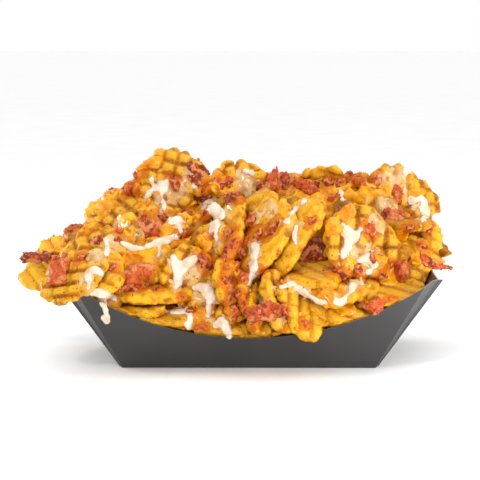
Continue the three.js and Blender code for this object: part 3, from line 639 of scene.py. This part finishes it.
# Fields of distances on a grid of cells, which the core, the sauces and the meat are cut from
class Grid:
    """A block of cells whose numbers are lengths: below nothing is inside a body."""

    def __init__(self, cell, low, high, band=4.0):
        self.cell, self.band = cell, band
        self.low = np.floor(np.array(low) / cell).astype(int)
        self.size = tuple(np.ceil(np.array(high) / cell).astype(int) - self.low)
        self.axes = [(np.arange(self.size[k]) + self.low[k]).astype(np.float32) * cell for k in range(3)]
        self.place = vdb.createLinearTransform(voxelSize=cell)

    def points(self, window=(slice(None),) * 3):
        return np.stack(np.meshgrid(*(a[w] for a, w in zip(self.axes, window)), indexing="ij"), -1)

    def full(self, value):
        return np.full(self.size, value, dtype=np.float32)

    def distance(self, points, quads):
        grid = vdb.FloatGrid.createLevelSetFromPolygons(
            points.astype(np.float32), quads=quads.astype(np.uint32), transform=self.place, halfWidth=self.band
        )
        field = self.full(self.band * self.cell)
        grid.copyToArray(field, ijk=tuple(int(v) for v in self.low))
        return field

    def blurred(self, field, radius):
        reach = max(1, int(round(radius / self.cell)))
        for axis in range(3):
            field = sum(np.roll(field, shift, axis) for shift in range(-reach, reach + 1)) / (2 * reach + 1)
        return field

    def surface(self, field):
        grid = vdb.FloatGrid(self.band * self.cell)
        grid.transform = self.place
        field = np.clip(field, -self.band * self.cell, self.band * self.cell).astype(np.float32)
        grid.copyFromArray(np.ascontiguousarray(field), ijk=tuple(int(v) for v in self.low))
        return grid.convertToQuads(isovalue=0.0)

    def sampled(self, field, points):
        """The field's value at points, between its cells."""
        place = points / self.cell - self.low
        base = np.clip(np.floor(place).astype(int), 0, np.array(self.size) - 2)
        part = np.clip(place - base, 0, 1)
        total = 0
        for corner in np.ndindex(2, 2, 2):
            weight = np.prod(np.where(np.array(corner), part, 1 - part), axis=1)
            total = total + weight * field[tuple((base + np.array(corner)).T)]
        return total

    def stamp(self, field, middle, radius, reach=3.0):
        """Lowers the field to the distance from a ball, where that is less."""
        first = np.floor((middle - radius - reach) / self.cell).astype(int) - self.low
        last = np.ceil((middle + radius + reach) / self.cell).astype(int) - self.low
        window = tuple(slice(max(f, 0), min(l, n)) for f, l, n in zip(first, last, self.size))
        if any(w.stop <= w.start for w in window):
            return
        x, y, z = (a[w] - m for a, w, m in zip(self.axes, window, middle))
        away = np.sqrt((x * x)[:, None, None] + (y * y)[None, :, None] + (z * z)[None, None, :]) - radius
        field[window] = np.minimum(field[window], away)


LOW, HIGH = (np.array(corner) / MM for corner in CAD_BOX)
GRID = Grid(1.0, LOW - 4, HIGH + 4)
FINE = Grid(0.7, LOW - 4, HIGH + 4)
COARSE = Grid(2.2, LOW - 4, HIGH + 4)


# The dark core that shows in the deepest gaps, coloured as painted shade
def core_field(grid):
    points = grid.points()
    field = grid.full(99.0)
    for at, radii in MOUNDS:
        away = np.linalg.norm((points - np.float32(at)) / np.float32(radii), axis=-1)
        field = np.minimum(field, (away - 0.86) * min(radii))
    field += 2.2 * ripples(points, 22, 5)
    x, y, z = (points[..., k] for k in range(3))
    share = z / TRAY_HEIGHT
    inside = np.maximum(np.abs(x) - lerp(*TRAY_LENGTH, share) / 2, np.abs(y) - lerp(*TRAY_DEPTH, share) / 2) + 3
    field = np.where(z < TRAY_HEIGHT, np.maximum(field, inside), field)
    floor_fill = np.maximum(inside, z - 17)
    return np.maximum(np.minimum(field, floor_fill), 2.2 - z)


core = np.clip(core_field(GRID), -GRID.band * GRID.cell, GRID.band * GRID.cell)
all_points, all_quads, _ = merged(list(meshes.values()))
heap_field = np.minimum(GRID.distance(all_points, all_quads), core)
smooth_field = GRID.blurred(GRID.blurred(heap_field, 1.6), 1.6)
wide_field = GRID.blurred(GRID.blurred(heap_field, 5), 5)
points = GRID.points()

# Lines of sight against the slices, and against them with their narrow gaps closed, and the tray
GAP = 2.4
tree = BVHTree.FromPolygons([Vector(p) for p in all_points.tolist()], all_quads.tolist())
closed_points, closed_quads = GRID.surface(GRID.distance(*GRID.surface(heap_field - GAP)) + GAP)
tray_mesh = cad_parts["tray"].data
tray_faces = [[len(closed_points) + i for i in face.vertices] for face in tray_mesh.polygons]
closed_places = [Vector(p) for p in closed_points.tolist()] + [v.co / MM for v in tray_mesh.vertices]
closed_tree = BVHTree.FromPolygons(closed_places, closed_quads.tolist() + tray_faces)


def hit(across, up, behind=False, drop=30, against=tree):
    """Where a line of sight meets the slices; one that passes over them is lowered until it does."""
    for lower in range(0, drop, 2):
        origin, way = view_ray(across, up - lower, behind)
        place, normal, _, _ = against.ray_cast(Vector(origin), Vector(way))
        if place is not None:
            normal = np.array(normal)
            return np.array(place), -normal if normal @ way > 0 else normal
    return None, None


def hit_from_above(x, y):
    place, _, _, _ = tree.ray_cast(Vector((x, y, 300)), Vector((0, 0, -1)))
    return None if place is None else np.array(place)


# Cheese: where it lies in the view (across, up, radius), and at random over the back and top
CHEESE_SPOTS = (
    (-86, 98, 11), (-74, 90, 11), (-62, 96, 8), (-64, 66, 10), (-52, 78, 10), (-40, 88, 8), (-38, 76, 7),
    (-28, 78, 6), (-27, 98, 7), (-54, 60, 6), (-110, 74, 6), (-98, 84, 6), (-70, 80, 6),
    (33, 105, 6), (45, 100, 11), (56, 96, 10), (50, 86, 8), (70, 103, 6), (38, 94, 6),
    (8, 66, 4), (2, 40, 5), (26, 52, 5), (44, 42, 9), (56, 36, 7), (34, 32, 5), (70, 40, 5),
    (80, 66, 5), (90, 78, 6), (100, 66, 6), (104, 82, 6), (86, 52, 4), (-58, 40, 4),
    (-30, 34, 5), (-14, 28, 4), (12, 104, 5), (112, 62, 4), (-10, 58, 4), (62, 62, 4),
)


def cheese_regions():
    field = GRID.full(12.0)
    for across, up, radius in CHEESE_SPOTS:
        place, _ = hit(across, up)
        if place is not None:
            GRID.stamp(field, place, radius, 7)
    rng = np.random.default_rng(31)
    for _ in range(46):
        place, _ = hit(rng.uniform(-105, 105), rng.uniform(48, 112), behind=True)
        if place is not None:
            GRID.stamp(field, place, rng.uniform(6, 14), 7)
    for _ in range(26):
        place = hit_from_above(rng.uniform(-95, 95), rng.uniform(-10, 50))
        if place is not None:
            GRID.stamp(field, place, rng.uniform(6, 12), 7)
    return field


def skin(base, region, thick, trim=2.0):
    """A coat over base, as thick as given inside the region and running out to nothing at its edge."""
    cover = ease(-region, -1.0, 3.0)
    coat = base - (thick * cover - 0.9 * (1 - cover))
    coat = np.maximum(coat, region - trim)
    points, quads = GRID.surface(coat)
    under = GRID.sampled(heap_field, points)
    region_at = GRID.sampled(region, points)
    keep = (under > -0.5)[quads].any(axis=1) & (region_at < trim - 0.3)[quads].any(axis=1)
    kept, quads = np.unique(quads[keep], return_inverse=True)
    edge = ease(-region_at[kept], -0.5, 2.5)
    colours = np.stack([np.full(len(kept), 0.5), edge, under[kept] / 3], -1)
    return points[kept], quads.reshape(-1, 4), colours


cheese_region = cheese_regions() + 2.4 * ripples(points, 8, 3) + 1.6 * ripples(points, 20, 4)
thick = 0.8 + 0.35 * ripples(points, 12, 6) + 0.4 * ripples(points, 4.6, 7)
p, q, c = skin(0.55 * heap_field + 0.45 * smooth_field, cheese_region, thick)
CHEESE = sauce_material(
    "melted_cheese", (0.54, 0.155, 0.001), (0.70, 0.23, 0.001), (0.88, 0.43, 0.010), 0.14, 0.6, 0.75, 0.12
)
make_piece("cheese_sauce", p, q, CHEESE, HEAP, colours=c)

# White sauce: runs through places in the view, each place with a half width
SAUCE_RUNS = (
    ((-59, 113, 1.4), (-57, 107, 2.3), (-61, 104, 1.3)),
    ((-53, 111, 1.9), (-52, 106, 2.4), (-53, 103, 1.3)),
    ((-49, 112, 1.4), (-50, 108, 1.6)),
    ((-35, 122, 1.4), (-33, 116, 1.7), (-33, 109, 1.3)),
    ((-29, 94, 1.9), (-23, 98, 3.6), (-18, 92, 3.9), (-20, 86, 3.1), (-22, 80, 1.7)),
    ((-77, 75, 1.2), (-70, 71, 2.3), (-62, 72, 1.8), (-53, 76, 2.3), (-46, 78, 2.2), (-41, 77, 1.3)),
    ((-47, 88, 1.8), (-42, 88, 2.7), (-38, 87, 1.3)),
    ((-97, 52, 1.7), (-95, 57, 2.5), (-91, 58, 2.3), (-88, 54, 1.3)),
    ((-45, 66, 1.6), (-43, 61, 3.4), (-42, 53, 3.0), (-44, 48, 1.3)),
    ((-40, 58, 2.2), (-37, 63, 3.4), (-32, 66, 1.9)),
    ((-33, 48, 1.4), (-26, 48, 3.1), (-23, 43, 3.4), (-24, 36, 2.2), (-24, 31, 1.4)),
    ((-97, 43, 1.5), (-91, 45, 2.5), (-86, 44, 2.7), (-80, 41, 1.8)),
    ((-89, 44, 2.3), (-88, 40, 2.1), (-86.5, 36, 1.9), (-85.5, 32, 2.0), (-84.5, 29, 2.7)),
    ((-46, 33, 1.3), (-38, 34, 2.2), (-35, 32, 2.3), (-36, 24, 1.4)),
    ((-20, 25, 2.0), (-16, 27, 3.4), (-13, 23, 3.1), (-11, 19, 1.3)),
    ((-86, 77, 1.3), (-85, 72, 1.9), (-86, 67, 1.2)),
    ((4, 74, 1.8), (3, 64, 2.8), (2, 56, 2.3), (0, 50, 1.2)),
    ((34, 100, 1.0), (28, 95, 1.3), (22, 87, 1.2)),
    ((29, 85, 1.1), (27, 78, 1.5), (28, 75, 1.0)),
    ((56, 87, 1.4), (60, 80, 3.4), (59, 73, 2.6), (56, 64, 1.3)),
    ((62, 77, 2.5), (67, 82, 1.9)),
    ((66, 64, 1.4), (71, 67, 2.3), (75, 63, 2.5), (73, 58, 1.7)),
    ((97, 100, 2.2), (103, 102, 2.3), (106, 95, 3.3), (104, 88, 1.7)),
    ((94, 118, 2.0), (98, 122, 1.4)),
    ((80, 95, 1.2), (79, 90, 1.0)),
    ((19, 48, 1.2), (25, 49, 2.6), (32, 46, 1.9), (40, 41, 1.7), (49, 38, 2.2), (56, 40, 1.7), (61, 46, 1.9)),
    ((61, 46, 1.9), (62, 50, 1.7), (70, 49, 1.0)),
    ((55, 106, 1.3), (56, 100, 1.0)),
    ((-2, 118, 1.4), (2, 116, 1.5)),
)
# Thin see-through sauce over the slices: across, up, radius
FILM_SPOTS = (
    (-34, 116, 9), (-44, 106, 9), (-54, 98, 8), (-84, 74, 9), (-90, 66, 8), (-2, 112, 9), (6, 106, 8),
    (88, 112, 10), (84, 100, 9), (78, 88, 8), (62, 72, 8), (72, 66, 9), (-36, 58, 9), (-28, 44, 8),
    (12, 96, 7), (4, 90, 6), (-12, 96, 6), (28, 84, 5), (-64, 82, 6), (102, 98, 8), (8, 40, 6), (-18, 74, 5),
    (18, 30, 5), (52, 40, 6), (-98, 52, 6),
)
FLOW = 0.8  # from place to place across a run of sauce


def with_drips(runs):
    """The runs, and thin drips that go down from some of their places."""
    rng = np.random.default_rng(14)
    found = list(runs)
    for run in runs:
        for across, up, half in run[1:-1]:
            if half > 1.5 and up > 50 and rng.random() < 0.5:
                drop, side = rng.uniform(4, 9), rng.uniform(-1.5, 1.5)
                thin = rng.uniform(0.8, 1.2)
                foot = (across + side, up - half - drop, thin * 1.25)
                found.append([(across, up, half * 0.7), (across + side / 2, up - half - drop / 2, thin), foot])
    return found


def run_cells(run):
    """The places across a run, each with its depth inside the run's edge."""
    rows = np.array(run, dtype=float)
    low, high = rows[:, :2].min(axis=0) - 4, rows[:, :2].max(axis=0) + 4
    A, U = np.meshgrid(np.arange(low[0], high[0], FLOW), np.arange(low[1], high[1], FLOW), indexing="ij")
    depth = np.full(A.shape, -99.0)
    for a, b in zip(rows[:-1], rows[1:]):
        way = b[:2] - a[:2]
        t = np.clip(((A - a[0]) * way[0] + (U - a[1]) * way[1]) / max(way @ way, 1e-6), 0, 1)
        away = np.hypot(A - a[0] - t * way[0], U - a[1] - t * way[1])
        depth = np.maximum(depth, lerp(a[2], b[2], t) - away)
    flat = np.stack([A, U, 0 * A], -1)
    depth += 0.15 + 0.5 * ripples(flat, 6, 21) + 0.3 * ripples(flat, 3, 22)
    wet = depth > 0
    return zip(A[wet], U[wet], depth[wet])


def random_runs(count):
    """Runs for the back, at random."""
    rng = np.random.default_rng(8)
    runs = []
    for _ in range(count):
        across, up = rng.uniform(-95, 95), rng.uniform(55, 118)
        run = []
        for _ in range(rng.integers(3, 7)):
            run.append((across, up, rng.uniform(1.2, 3.4)))
            across += rng.uniform(-5, 9)
            up -= rng.uniform(2, 8)
        runs.append(run)
    return runs


white = FINE.full(9.0)
film = GRID.full(12.0)
for behind, runs in ((False, with_drips(SAUCE_RUNS)), (True, with_drips(random_runs(26)))):
    for run in runs:
        for across, up, depth in run_cells(run):
            place, normal = hit(across, up, behind, 8, closed_tree)
            if place is not None:
                FINE.stamp(white, place + 0.2 * normal, min(0.6 + 0.42 * depth, 1.25), 2.0)
                GRID.stamp(film, place, 2.5, 5)
rng = np.random.default_rng(18)
spots = [(*spot, False) for spot in FILM_SPOTS]
spots += [(rng.uniform(-100, 100), rng.uniform(50, 118), rng.uniform(5, 10), True) for _ in range(26)]
for across, up, radius, behind in spots:
    place, _ = hit(across, up, behind)
    if place is not None:
        GRID.stamp(film, place, radius, 6)
white_points, white_quads = FINE.surface(FINE.blurred(white, 0.7))
under = GRID.sampled(heap_field, white_points)
seen = (under > -0.6)[white_quads].any(axis=1)
kept, white_quads = np.unique(white_quads[seen], return_inverse=True)
edge = ease(under[kept], -0.2, 0.9)
SAUCE = sauce_material(
    "white_sauce", (0.62, 0.41, 0.21), (0.84, 0.72, 0.58), (0.68, 0.52, 0.36), 0.14, 0.25, 0.6, 0.35
)
sauce_colours = np.stack([edge, edge, edge], -1)
make_piece("white_sauce", white_points[kept], white_quads.reshape(-1, 4), SAUCE, HEAP, colours=sauce_colours)
film_region = film + 1.6 * ripples(points, 7, 13) + 0.9 * ripples(points, 3.4, 14)
thick = 0.35 + 0.15 * ripples(points, 6, 15)
p, q, c = skin(0.5 * heap_field + 0.5 * smooth_field, film_region, thick)
THIN_SAUCE = sauce_material(
    "thin_sauce", (0.50, 0.22, 0.02), (0.72, 0.47, 0.22), (0.60, 0.34, 0.11), 0.12, 0.15, 0.8, 0.3
)
make_piece("thin_sauce", p, q, THIN_SAUCE, HEAP, colours=c)

# Bacon: each chunk of the model and smaller crumbs, as clumps of torn bits
BACON = bacon_material()


def clump(size, seed, cell):
    """A torn clump within a box of a size, with its layers' place as colour."""
    rng = np.random.default_rng(seed)
    half = np.array(size) / 2
    grid = Grid(cell, -half - 3 * cell, half + 3 * cell, band=3.0)
    points = grid.points()
    field = grid.full(9.0)
    turned = 0.5 * half.min() / half.max()
    for _ in range(7):
        part = half * rng.uniform(0.42, 0.8, 3)
        middle = (half - part) * rng.uniform(-1, 1, 3)
        axes = np.linalg.qr(np.eye(3) + turned * rng.normal(size=(3, 3)))[0]
        local = np.abs((points - middle) @ axes / part)
        field = np.minimum(field, ((local**3.2).sum(-1) ** (1 / 3.2) - 1) * part.min())
    field += 0.07 * min(size) * np.tanh(ripples(points, 0.9 * min(size) + 1, seed))
    field += min(0.22, 0.06 * min(size)) * np.tanh(ripples(points, 2.0, seed + 1))
    shaped, quads = grid.surface(field)
    layer = shaped[:, 1] / half[1] + 0.35 * np.sin(5 * shaped[:, 0] / half[0])
    stripe = 0.5 + 0.5 * np.cos(layer * rng.uniform(2, 4) + rng.uniform(0, 6))
    tone = np.clip(rng.uniform(0.1, 0.9) + 0.22 * ripples(shaped, 4, seed + 2), 0, 1)
    return shaped, quads, np.stack([tone, stripe, 0 * tone], -1)


def chunk_of_node(name, seed):
    """The clump that fits a chunk of the model, along that chunk's own axes."""
    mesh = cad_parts[name].data
    corners = np.array([v.co[:] for v in mesh.vertices]) / MM
    middle = corners.mean(axis=0)
    axes = np.linalg.svd(corners - middle)[2]
    local = (corners - middle) @ axes.T
    low, high = np.percentile(local, 3, axis=0), np.percentile(local, 97, axis=0)
    if np.linalg.det(axes) < 0:
        axes[2] *= -1
    shaped, quads, colours = clump((high - low) * 1.12, seed, 0.6)
    return shaped @ axes + middle, quads, colours


bacon_names = sorted(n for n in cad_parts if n.startswith("bacon_"))
p, q, c = merged([chunk_of_node(name, 300 + number) for number, name in enumerate(bacon_names)])
make_piece("bacon_chunks", p, q, BACON, bacon_names, colours=c)

# Crumbs in the view: across, up, length, width, spin
CRUMBS = (
    (-44, 110, 11, 6, -50), (-10, 102, 10, 8, 10), (-71, 108, 10, 7, 20), (-91, 75, 9, 6, 60),
    (-38, 92, 11, 6, -20), (-26, 63, 12, 6, -62), (61, 117, 9, 7, 15), (76, 111, 11, 6, 70),
    (73, 82, 11, 6, -62), (1, 88, 9, 6, 40), (-6, 70, 11, 6, 62), (-10, 46, 12, 6, -74),
    (15, 84, 13, 5, 52), (54, 57, 12, 6, -4), (47, 111, 9, 6, 0), (-12, 80, 7, 5, 60),
    (-9, 75, 6, 4, 50), (-4, 68, 6, 4, 60), (-14, 52, 6, 4, 80), (-12, 42, 6, 4, 70), (-9, 37, 5, 4, 20),
    (4, 28, 7, 5, 10), (-35, 33, 7, 5, 40), (-29, 24, 8, 4, 20), (46, 24, 9, 4, 10), (-16, 110, 7, 5, 30),
    (22, 108, 7, 4, 10), (28, 111, 6, 4, 40), (40, 110, 6, 5, 0), (55, 112, 5, 4, 20), (68, 112, 6, 4, 50),
    (-100, 66, 7, 4, 30), (-82, 60, 6, 4, 70), (-78, 82, 6, 5, 10), (-64, 90, 6, 4, 40), (33, 68, 7, 5, 20),
    (92, 92, 7, 4, 70), (97, 84, 6, 4, 30), (80, 55, 6, 4, 10), (104, 72, 6, 4, 0), (38, 88, 6, 4, 20),
    (20, 110, 15, 8, 30), (8, 108, 9, 6, -20), (-12, 72, 9, 5, 60), (-8, 60, 9, 5, 66), (-3, 54, 8, 5, 60),
    (-8, 32, 9, 5, 60), (6, 80, 8, 5, 50), (-66, 48, 10, 5, 0), (-40, 80, 8, 5, 30), (-52, 90, 8, 5, -20),
    (-14, 66, 6, 4, 50), (-2, 76, 7, 4, 60), (-13, 60, 5, 3, 30), (-6, 44, 6, 4, 80), (0, 60, 5, 3, 70),
    (-11, 54, 5, 3, 10), (-4, 38, 6, 3, 40), (22, 30, 6, 3, 10), (34, 26, 5, 3, 60), (-20, 34, 5, 3, 20),
)


def crumbs():
    rng = np.random.default_rng(5)
    rows = [(*row, False) for row in CRUMBS]
    for _ in range(90):
        size = rng.uniform(3, 8)
        behind = rng.random() < 0.6
        rows.append((rng.uniform(-110, 110), rng.uniform(30, 118), size, size * 0.65, rng.uniform(0, 180), behind))
    found = []
    for number, (across, up, length, width, spin, behind) in enumerate(rows):
        place, normal = hit(across, up, behind)
        if place is None or place[2] < 25:
            continue
        thick = min(3.6, 0.6 * width)
        shaped, quads, colours = clump((length, width, thick), 700 + number, 0.6)
        face = unit(normal - 0.5 * view_ray(across, up, behind)[1])
        turn = math.degrees(math.atan2(face[0], -face[1]))
        lift = math.degrees(math.asin(np.clip(face[2], -1, 1)))
        axes = frame_of(dict(turn=turn, lift=lift, spin=spin))
        found.append((shaped @ axes + place + face * thick * 0.2, quads, colours))
    return merged(found)


p, q, c = crumbs()
make_piece("bacon_crumbs", p, q, BACON, HEAP, colours=c)

# Fat from the bacon stains what lies near it
stain_field = GRID.full(12.0)
for spot in p[:: max(1, len(p) // 900)]:
    GRID.stamp(stain_field, spot, 2.0, 6)


# The slices and the core, with what covers them and the painted shade in their gaps
def gap_shade_and_coat_of(points):
    """How deep in a gap each point lies, which darkens the potato as painted shade, how much thin sauce covers it,
    and how much fat stains it.
    """
    # Painted shade: the deeper in a gap between slices, the darker the potato is coloured
    deep = ease(-GRID.sampled(wide_field, points), -1.0, 1.3)
    covered = ease(-GRID.sampled(film, points), -1.0, 3.5)
    stained = ease(-GRID.sampled(stain_field, points), -5.0, 0.0)
    return np.stack([deep, covered, stained], -1)


FRY = fry_material(
    "fried_potato",
    dark=(0.29, 0.078, 0.001),
    mid=(0.56, 0.205, 0.002),
    light=(0.92, 0.47, 0.014),
    crest=(0.86, 0.47, 0.035),
    amber=(0.66, 0.19, 0.001),
    rim_colour=(0.36, 0.080, 0.001),
)
# A darker copy of the potato for the slices deep in the heap: painted shade
FRY_PAINTED_SHADE = fry_material(
    "fried_potato_deep",
    dark=(0.26, 0.06, 0.001),
    mid=(0.40, 0.13, 0.002),
    light=(0.56, 0.23, 0.005),
    crest=(0.50, 0.22, 0.015),
    amber=(0.44, 0.11, 0.001),
    rim_colour=(0.22, 0.045, 0.001),
)
for name, (p, q, c) in meshes.items():
    # The inner slices take the darker copy, painted shade
    material = FRY_PAINTED_SHADE if name == "fries_inner" else FRY
    make_piece(name, p, q, material, HEAP, colours=c, coat=gap_shade_and_coat_of(p))

core_points, core_quads = COARSE.surface(core_field(COARSE))
# The core's colour is painted shade: shadowed potato
CORE = plain_material("heap_shadow", (0.16, 0.03, 0.004), (0.3, 0.08, 0.01), 6, 0.6, 0.8)
make_piece("heap_core", core_points, core_quads, CORE, HEAP)

# Specks of pepper and herb
SPECK = plain_material("pepper_and_herb", (0.015, 0.012, 0.008), (0.045, 0.05, 0.012), 2, 0.6, 0.3)


def specks(count):
    rng = np.random.default_rng(9)
    corners = np.array([[1, 0, -0.4], [-0.5, 0.87, -0.4], [-0.5, -0.87, -0.4], [0, 0, 0.8]])
    sides = np.array([[0, 1, 3], [1, 2, 3], [2, 0, 3], [0, 2, 1]])
    parts = []
    for _ in range(count):
        behind = rng.random() < 0.5
        place, normal = hit(rng.uniform(-130, 120), rng.uniform(22, 118), behind)
        if place is None:
            continue
        size = rng.uniform(0.28, 0.62)
        axes = np.linalg.qr(rng.normal(size=(3, 3)))[0]
        lift = max(0.0, 1.0 * rng.random())
        shaped = corners * size * np.array([1.4, 0.8, 0.7])
        parts.append((shaped @ axes + place + normal * lift, sides, np.zeros((4, 3))))
    return merged(parts)


p, t, _ = specks(1500)
make_piece("pepper_specks", p, None, SPECK, HEAP, tris=t, smooth=False)

# The tray: the model's own board with softened folds and a raw pale edge
BOARD = board_material("black_board", (0.025, 0.023, 0.024), (0.040, 0.037, 0.038), 0.28)
RAW = board_material("raw_board_edge", (0.34, 0.32, 0.3), (0.5, 0.48, 0.45), 0.7)


def tray_piece():
    piece = bpy.data.objects.new("tray_board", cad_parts["tray"].data.copy())
    mesh = piece.data
    mesh.name = "tray_board"
    mesh.materials.clear()
    mesh.materials.append(BOARD)
    mesh.materials.append(RAW)
    bpy.context.scene.collection.objects.link(piece)
    weld = piece.modifiers.new("weld", "WELD")
    weld.merge_threshold = 0.00002
    soft = piece.modifiers.new("soft", "BEVEL")
    soft.width = 0.00022
    soft.segments = 2
    soft.limit_method = "ANGLE"
    soft.angle_limit = math.radians(25)
    done = bpy.data.meshes.new_from_object(piece.evaluated_get(bpy.context.evaluated_depsgraph_get()))
    piece.modifiers.clear()
    piece.data = done
    done.name = "tray_board"
    for face in done.polygons:
        up = face.normal.z > 0.75 and face.center.z > 0.015
        face.material_index = 1 if up else 0
        face.use_smooth = False
    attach(piece, "root")
    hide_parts("tray")


tray_piece()

# Floor, light and camera
floor_mesh = bpy.data.meshes.new("floor")
floor_mesh.from_pydata([(-6, -3, 0), (6, -3, 0), (6, 9, 0), (-6, 9, 0)], [], [(0, 1, 2, 3)])
floor = bpy.data.objects.new("floor", floor_mesh)
floor_mesh.materials.append(plain_material("floor_white", (0.93, 0.93, 0.93), (0.95, 0.95, 0.95), 60, 0.75, 0.02))
bpy.context.scene.collection.objects.link(floor)

world = bpy.data.worlds.new("studio")
world.use_nodes = True
bpy.context.scene.world = world
sky = world.node_tree
split = sky.nodes.new("ShaderNodeSeparateXYZ")
level = sky.nodes.new("ShaderNodeMapRange")
sky.links.new(sky.nodes.new("ShaderNodeTexCoord").outputs["Generated"], split.inputs[0])
sky.links.new(split.outputs["Z"], level.inputs["Value"])
for key, value in (("From Min", 0.03), ("From Max", 0.15), ("To Min", 1.0), ("To Max", 0.36)):
    level.inputs[key].default_value = value
sky.links.new(level.outputs[0], sky.nodes["Background"].inputs["Strength"])
sky.nodes["Background"].inputs["Color"].default_value = (1, 1, 1, 1)


def light(kind, name, place, power, aim=(0, 0, 0.06), **settings):
    lamp = bpy.data.lights.new(name, kind)
    lamp.energy = power
    for key, value in settings.items():
        setattr(lamp, key, value)
    holder = bpy.data.objects.new(name, lamp)
    holder.location = place
    holder.rotation_euler = (Vector(aim) - Vector(place)).to_track_quat("-Z", "Y").to_euler()
    bpy.context.scene.collection.objects.link(holder)


light("SUN", "sky_panel", (0, 0.2, 1.2), 2.2, angle=math.radians(90))
light("AREA", "front", (0.3, -1.35, 0.26), 6.3, shape="DISK", size=0.5)
light("AREA", "key", (-0.35, -0.9, 0.8), 2.9, shape="DISK", size=0.06)
light("AREA", "side", (0.95, -0.4, 0.26), 4, shape="DISK", size=0.6)
light("AREA", "left_fill", (-0.55, 0.2, 0.12), 2.4, shape="DISK", size=0.3)
light("AREA", "right_bounce", (0.16, -0.11, 0.05), 0.1, aim=(0.15, -0.1, 0), shape="DISK", size=0.06)

camera = bpy.data.cameras.new("camera")
holder = bpy.data.objects.new("camera", camera)
bpy.context.scene.collection.objects.link(holder)
bpy.context.scene.camera = holder
PICTURE_MIDDLE = (-5.4, 76.5)  # across and up in the view
PICTURE_WIDTH = 288
eye = VIEW_AIM + VIEW_BACK * VIEW_DISTANCE
target = VIEW_AIM + VIEW_UP * PICTURE_MIDDLE[1] + np.array([PICTURE_MIDDLE[0], 0, 0])
holder.location = Vector(eye * MM)
holder.rotation_euler = Vector(target - eye).to_track_quat("-Z", "Y").to_euler()
camera.sensor_width = 36
camera.lens = 36 * float(np.linalg.norm(target - eye)) / PICTURE_WIDTH
camera.clip_start = 0.05
camera.clip_end = 50

bpy.context.scene.view_settings.view_transform = "Standard"
bpy.context.scene.view_settings.look = "None"
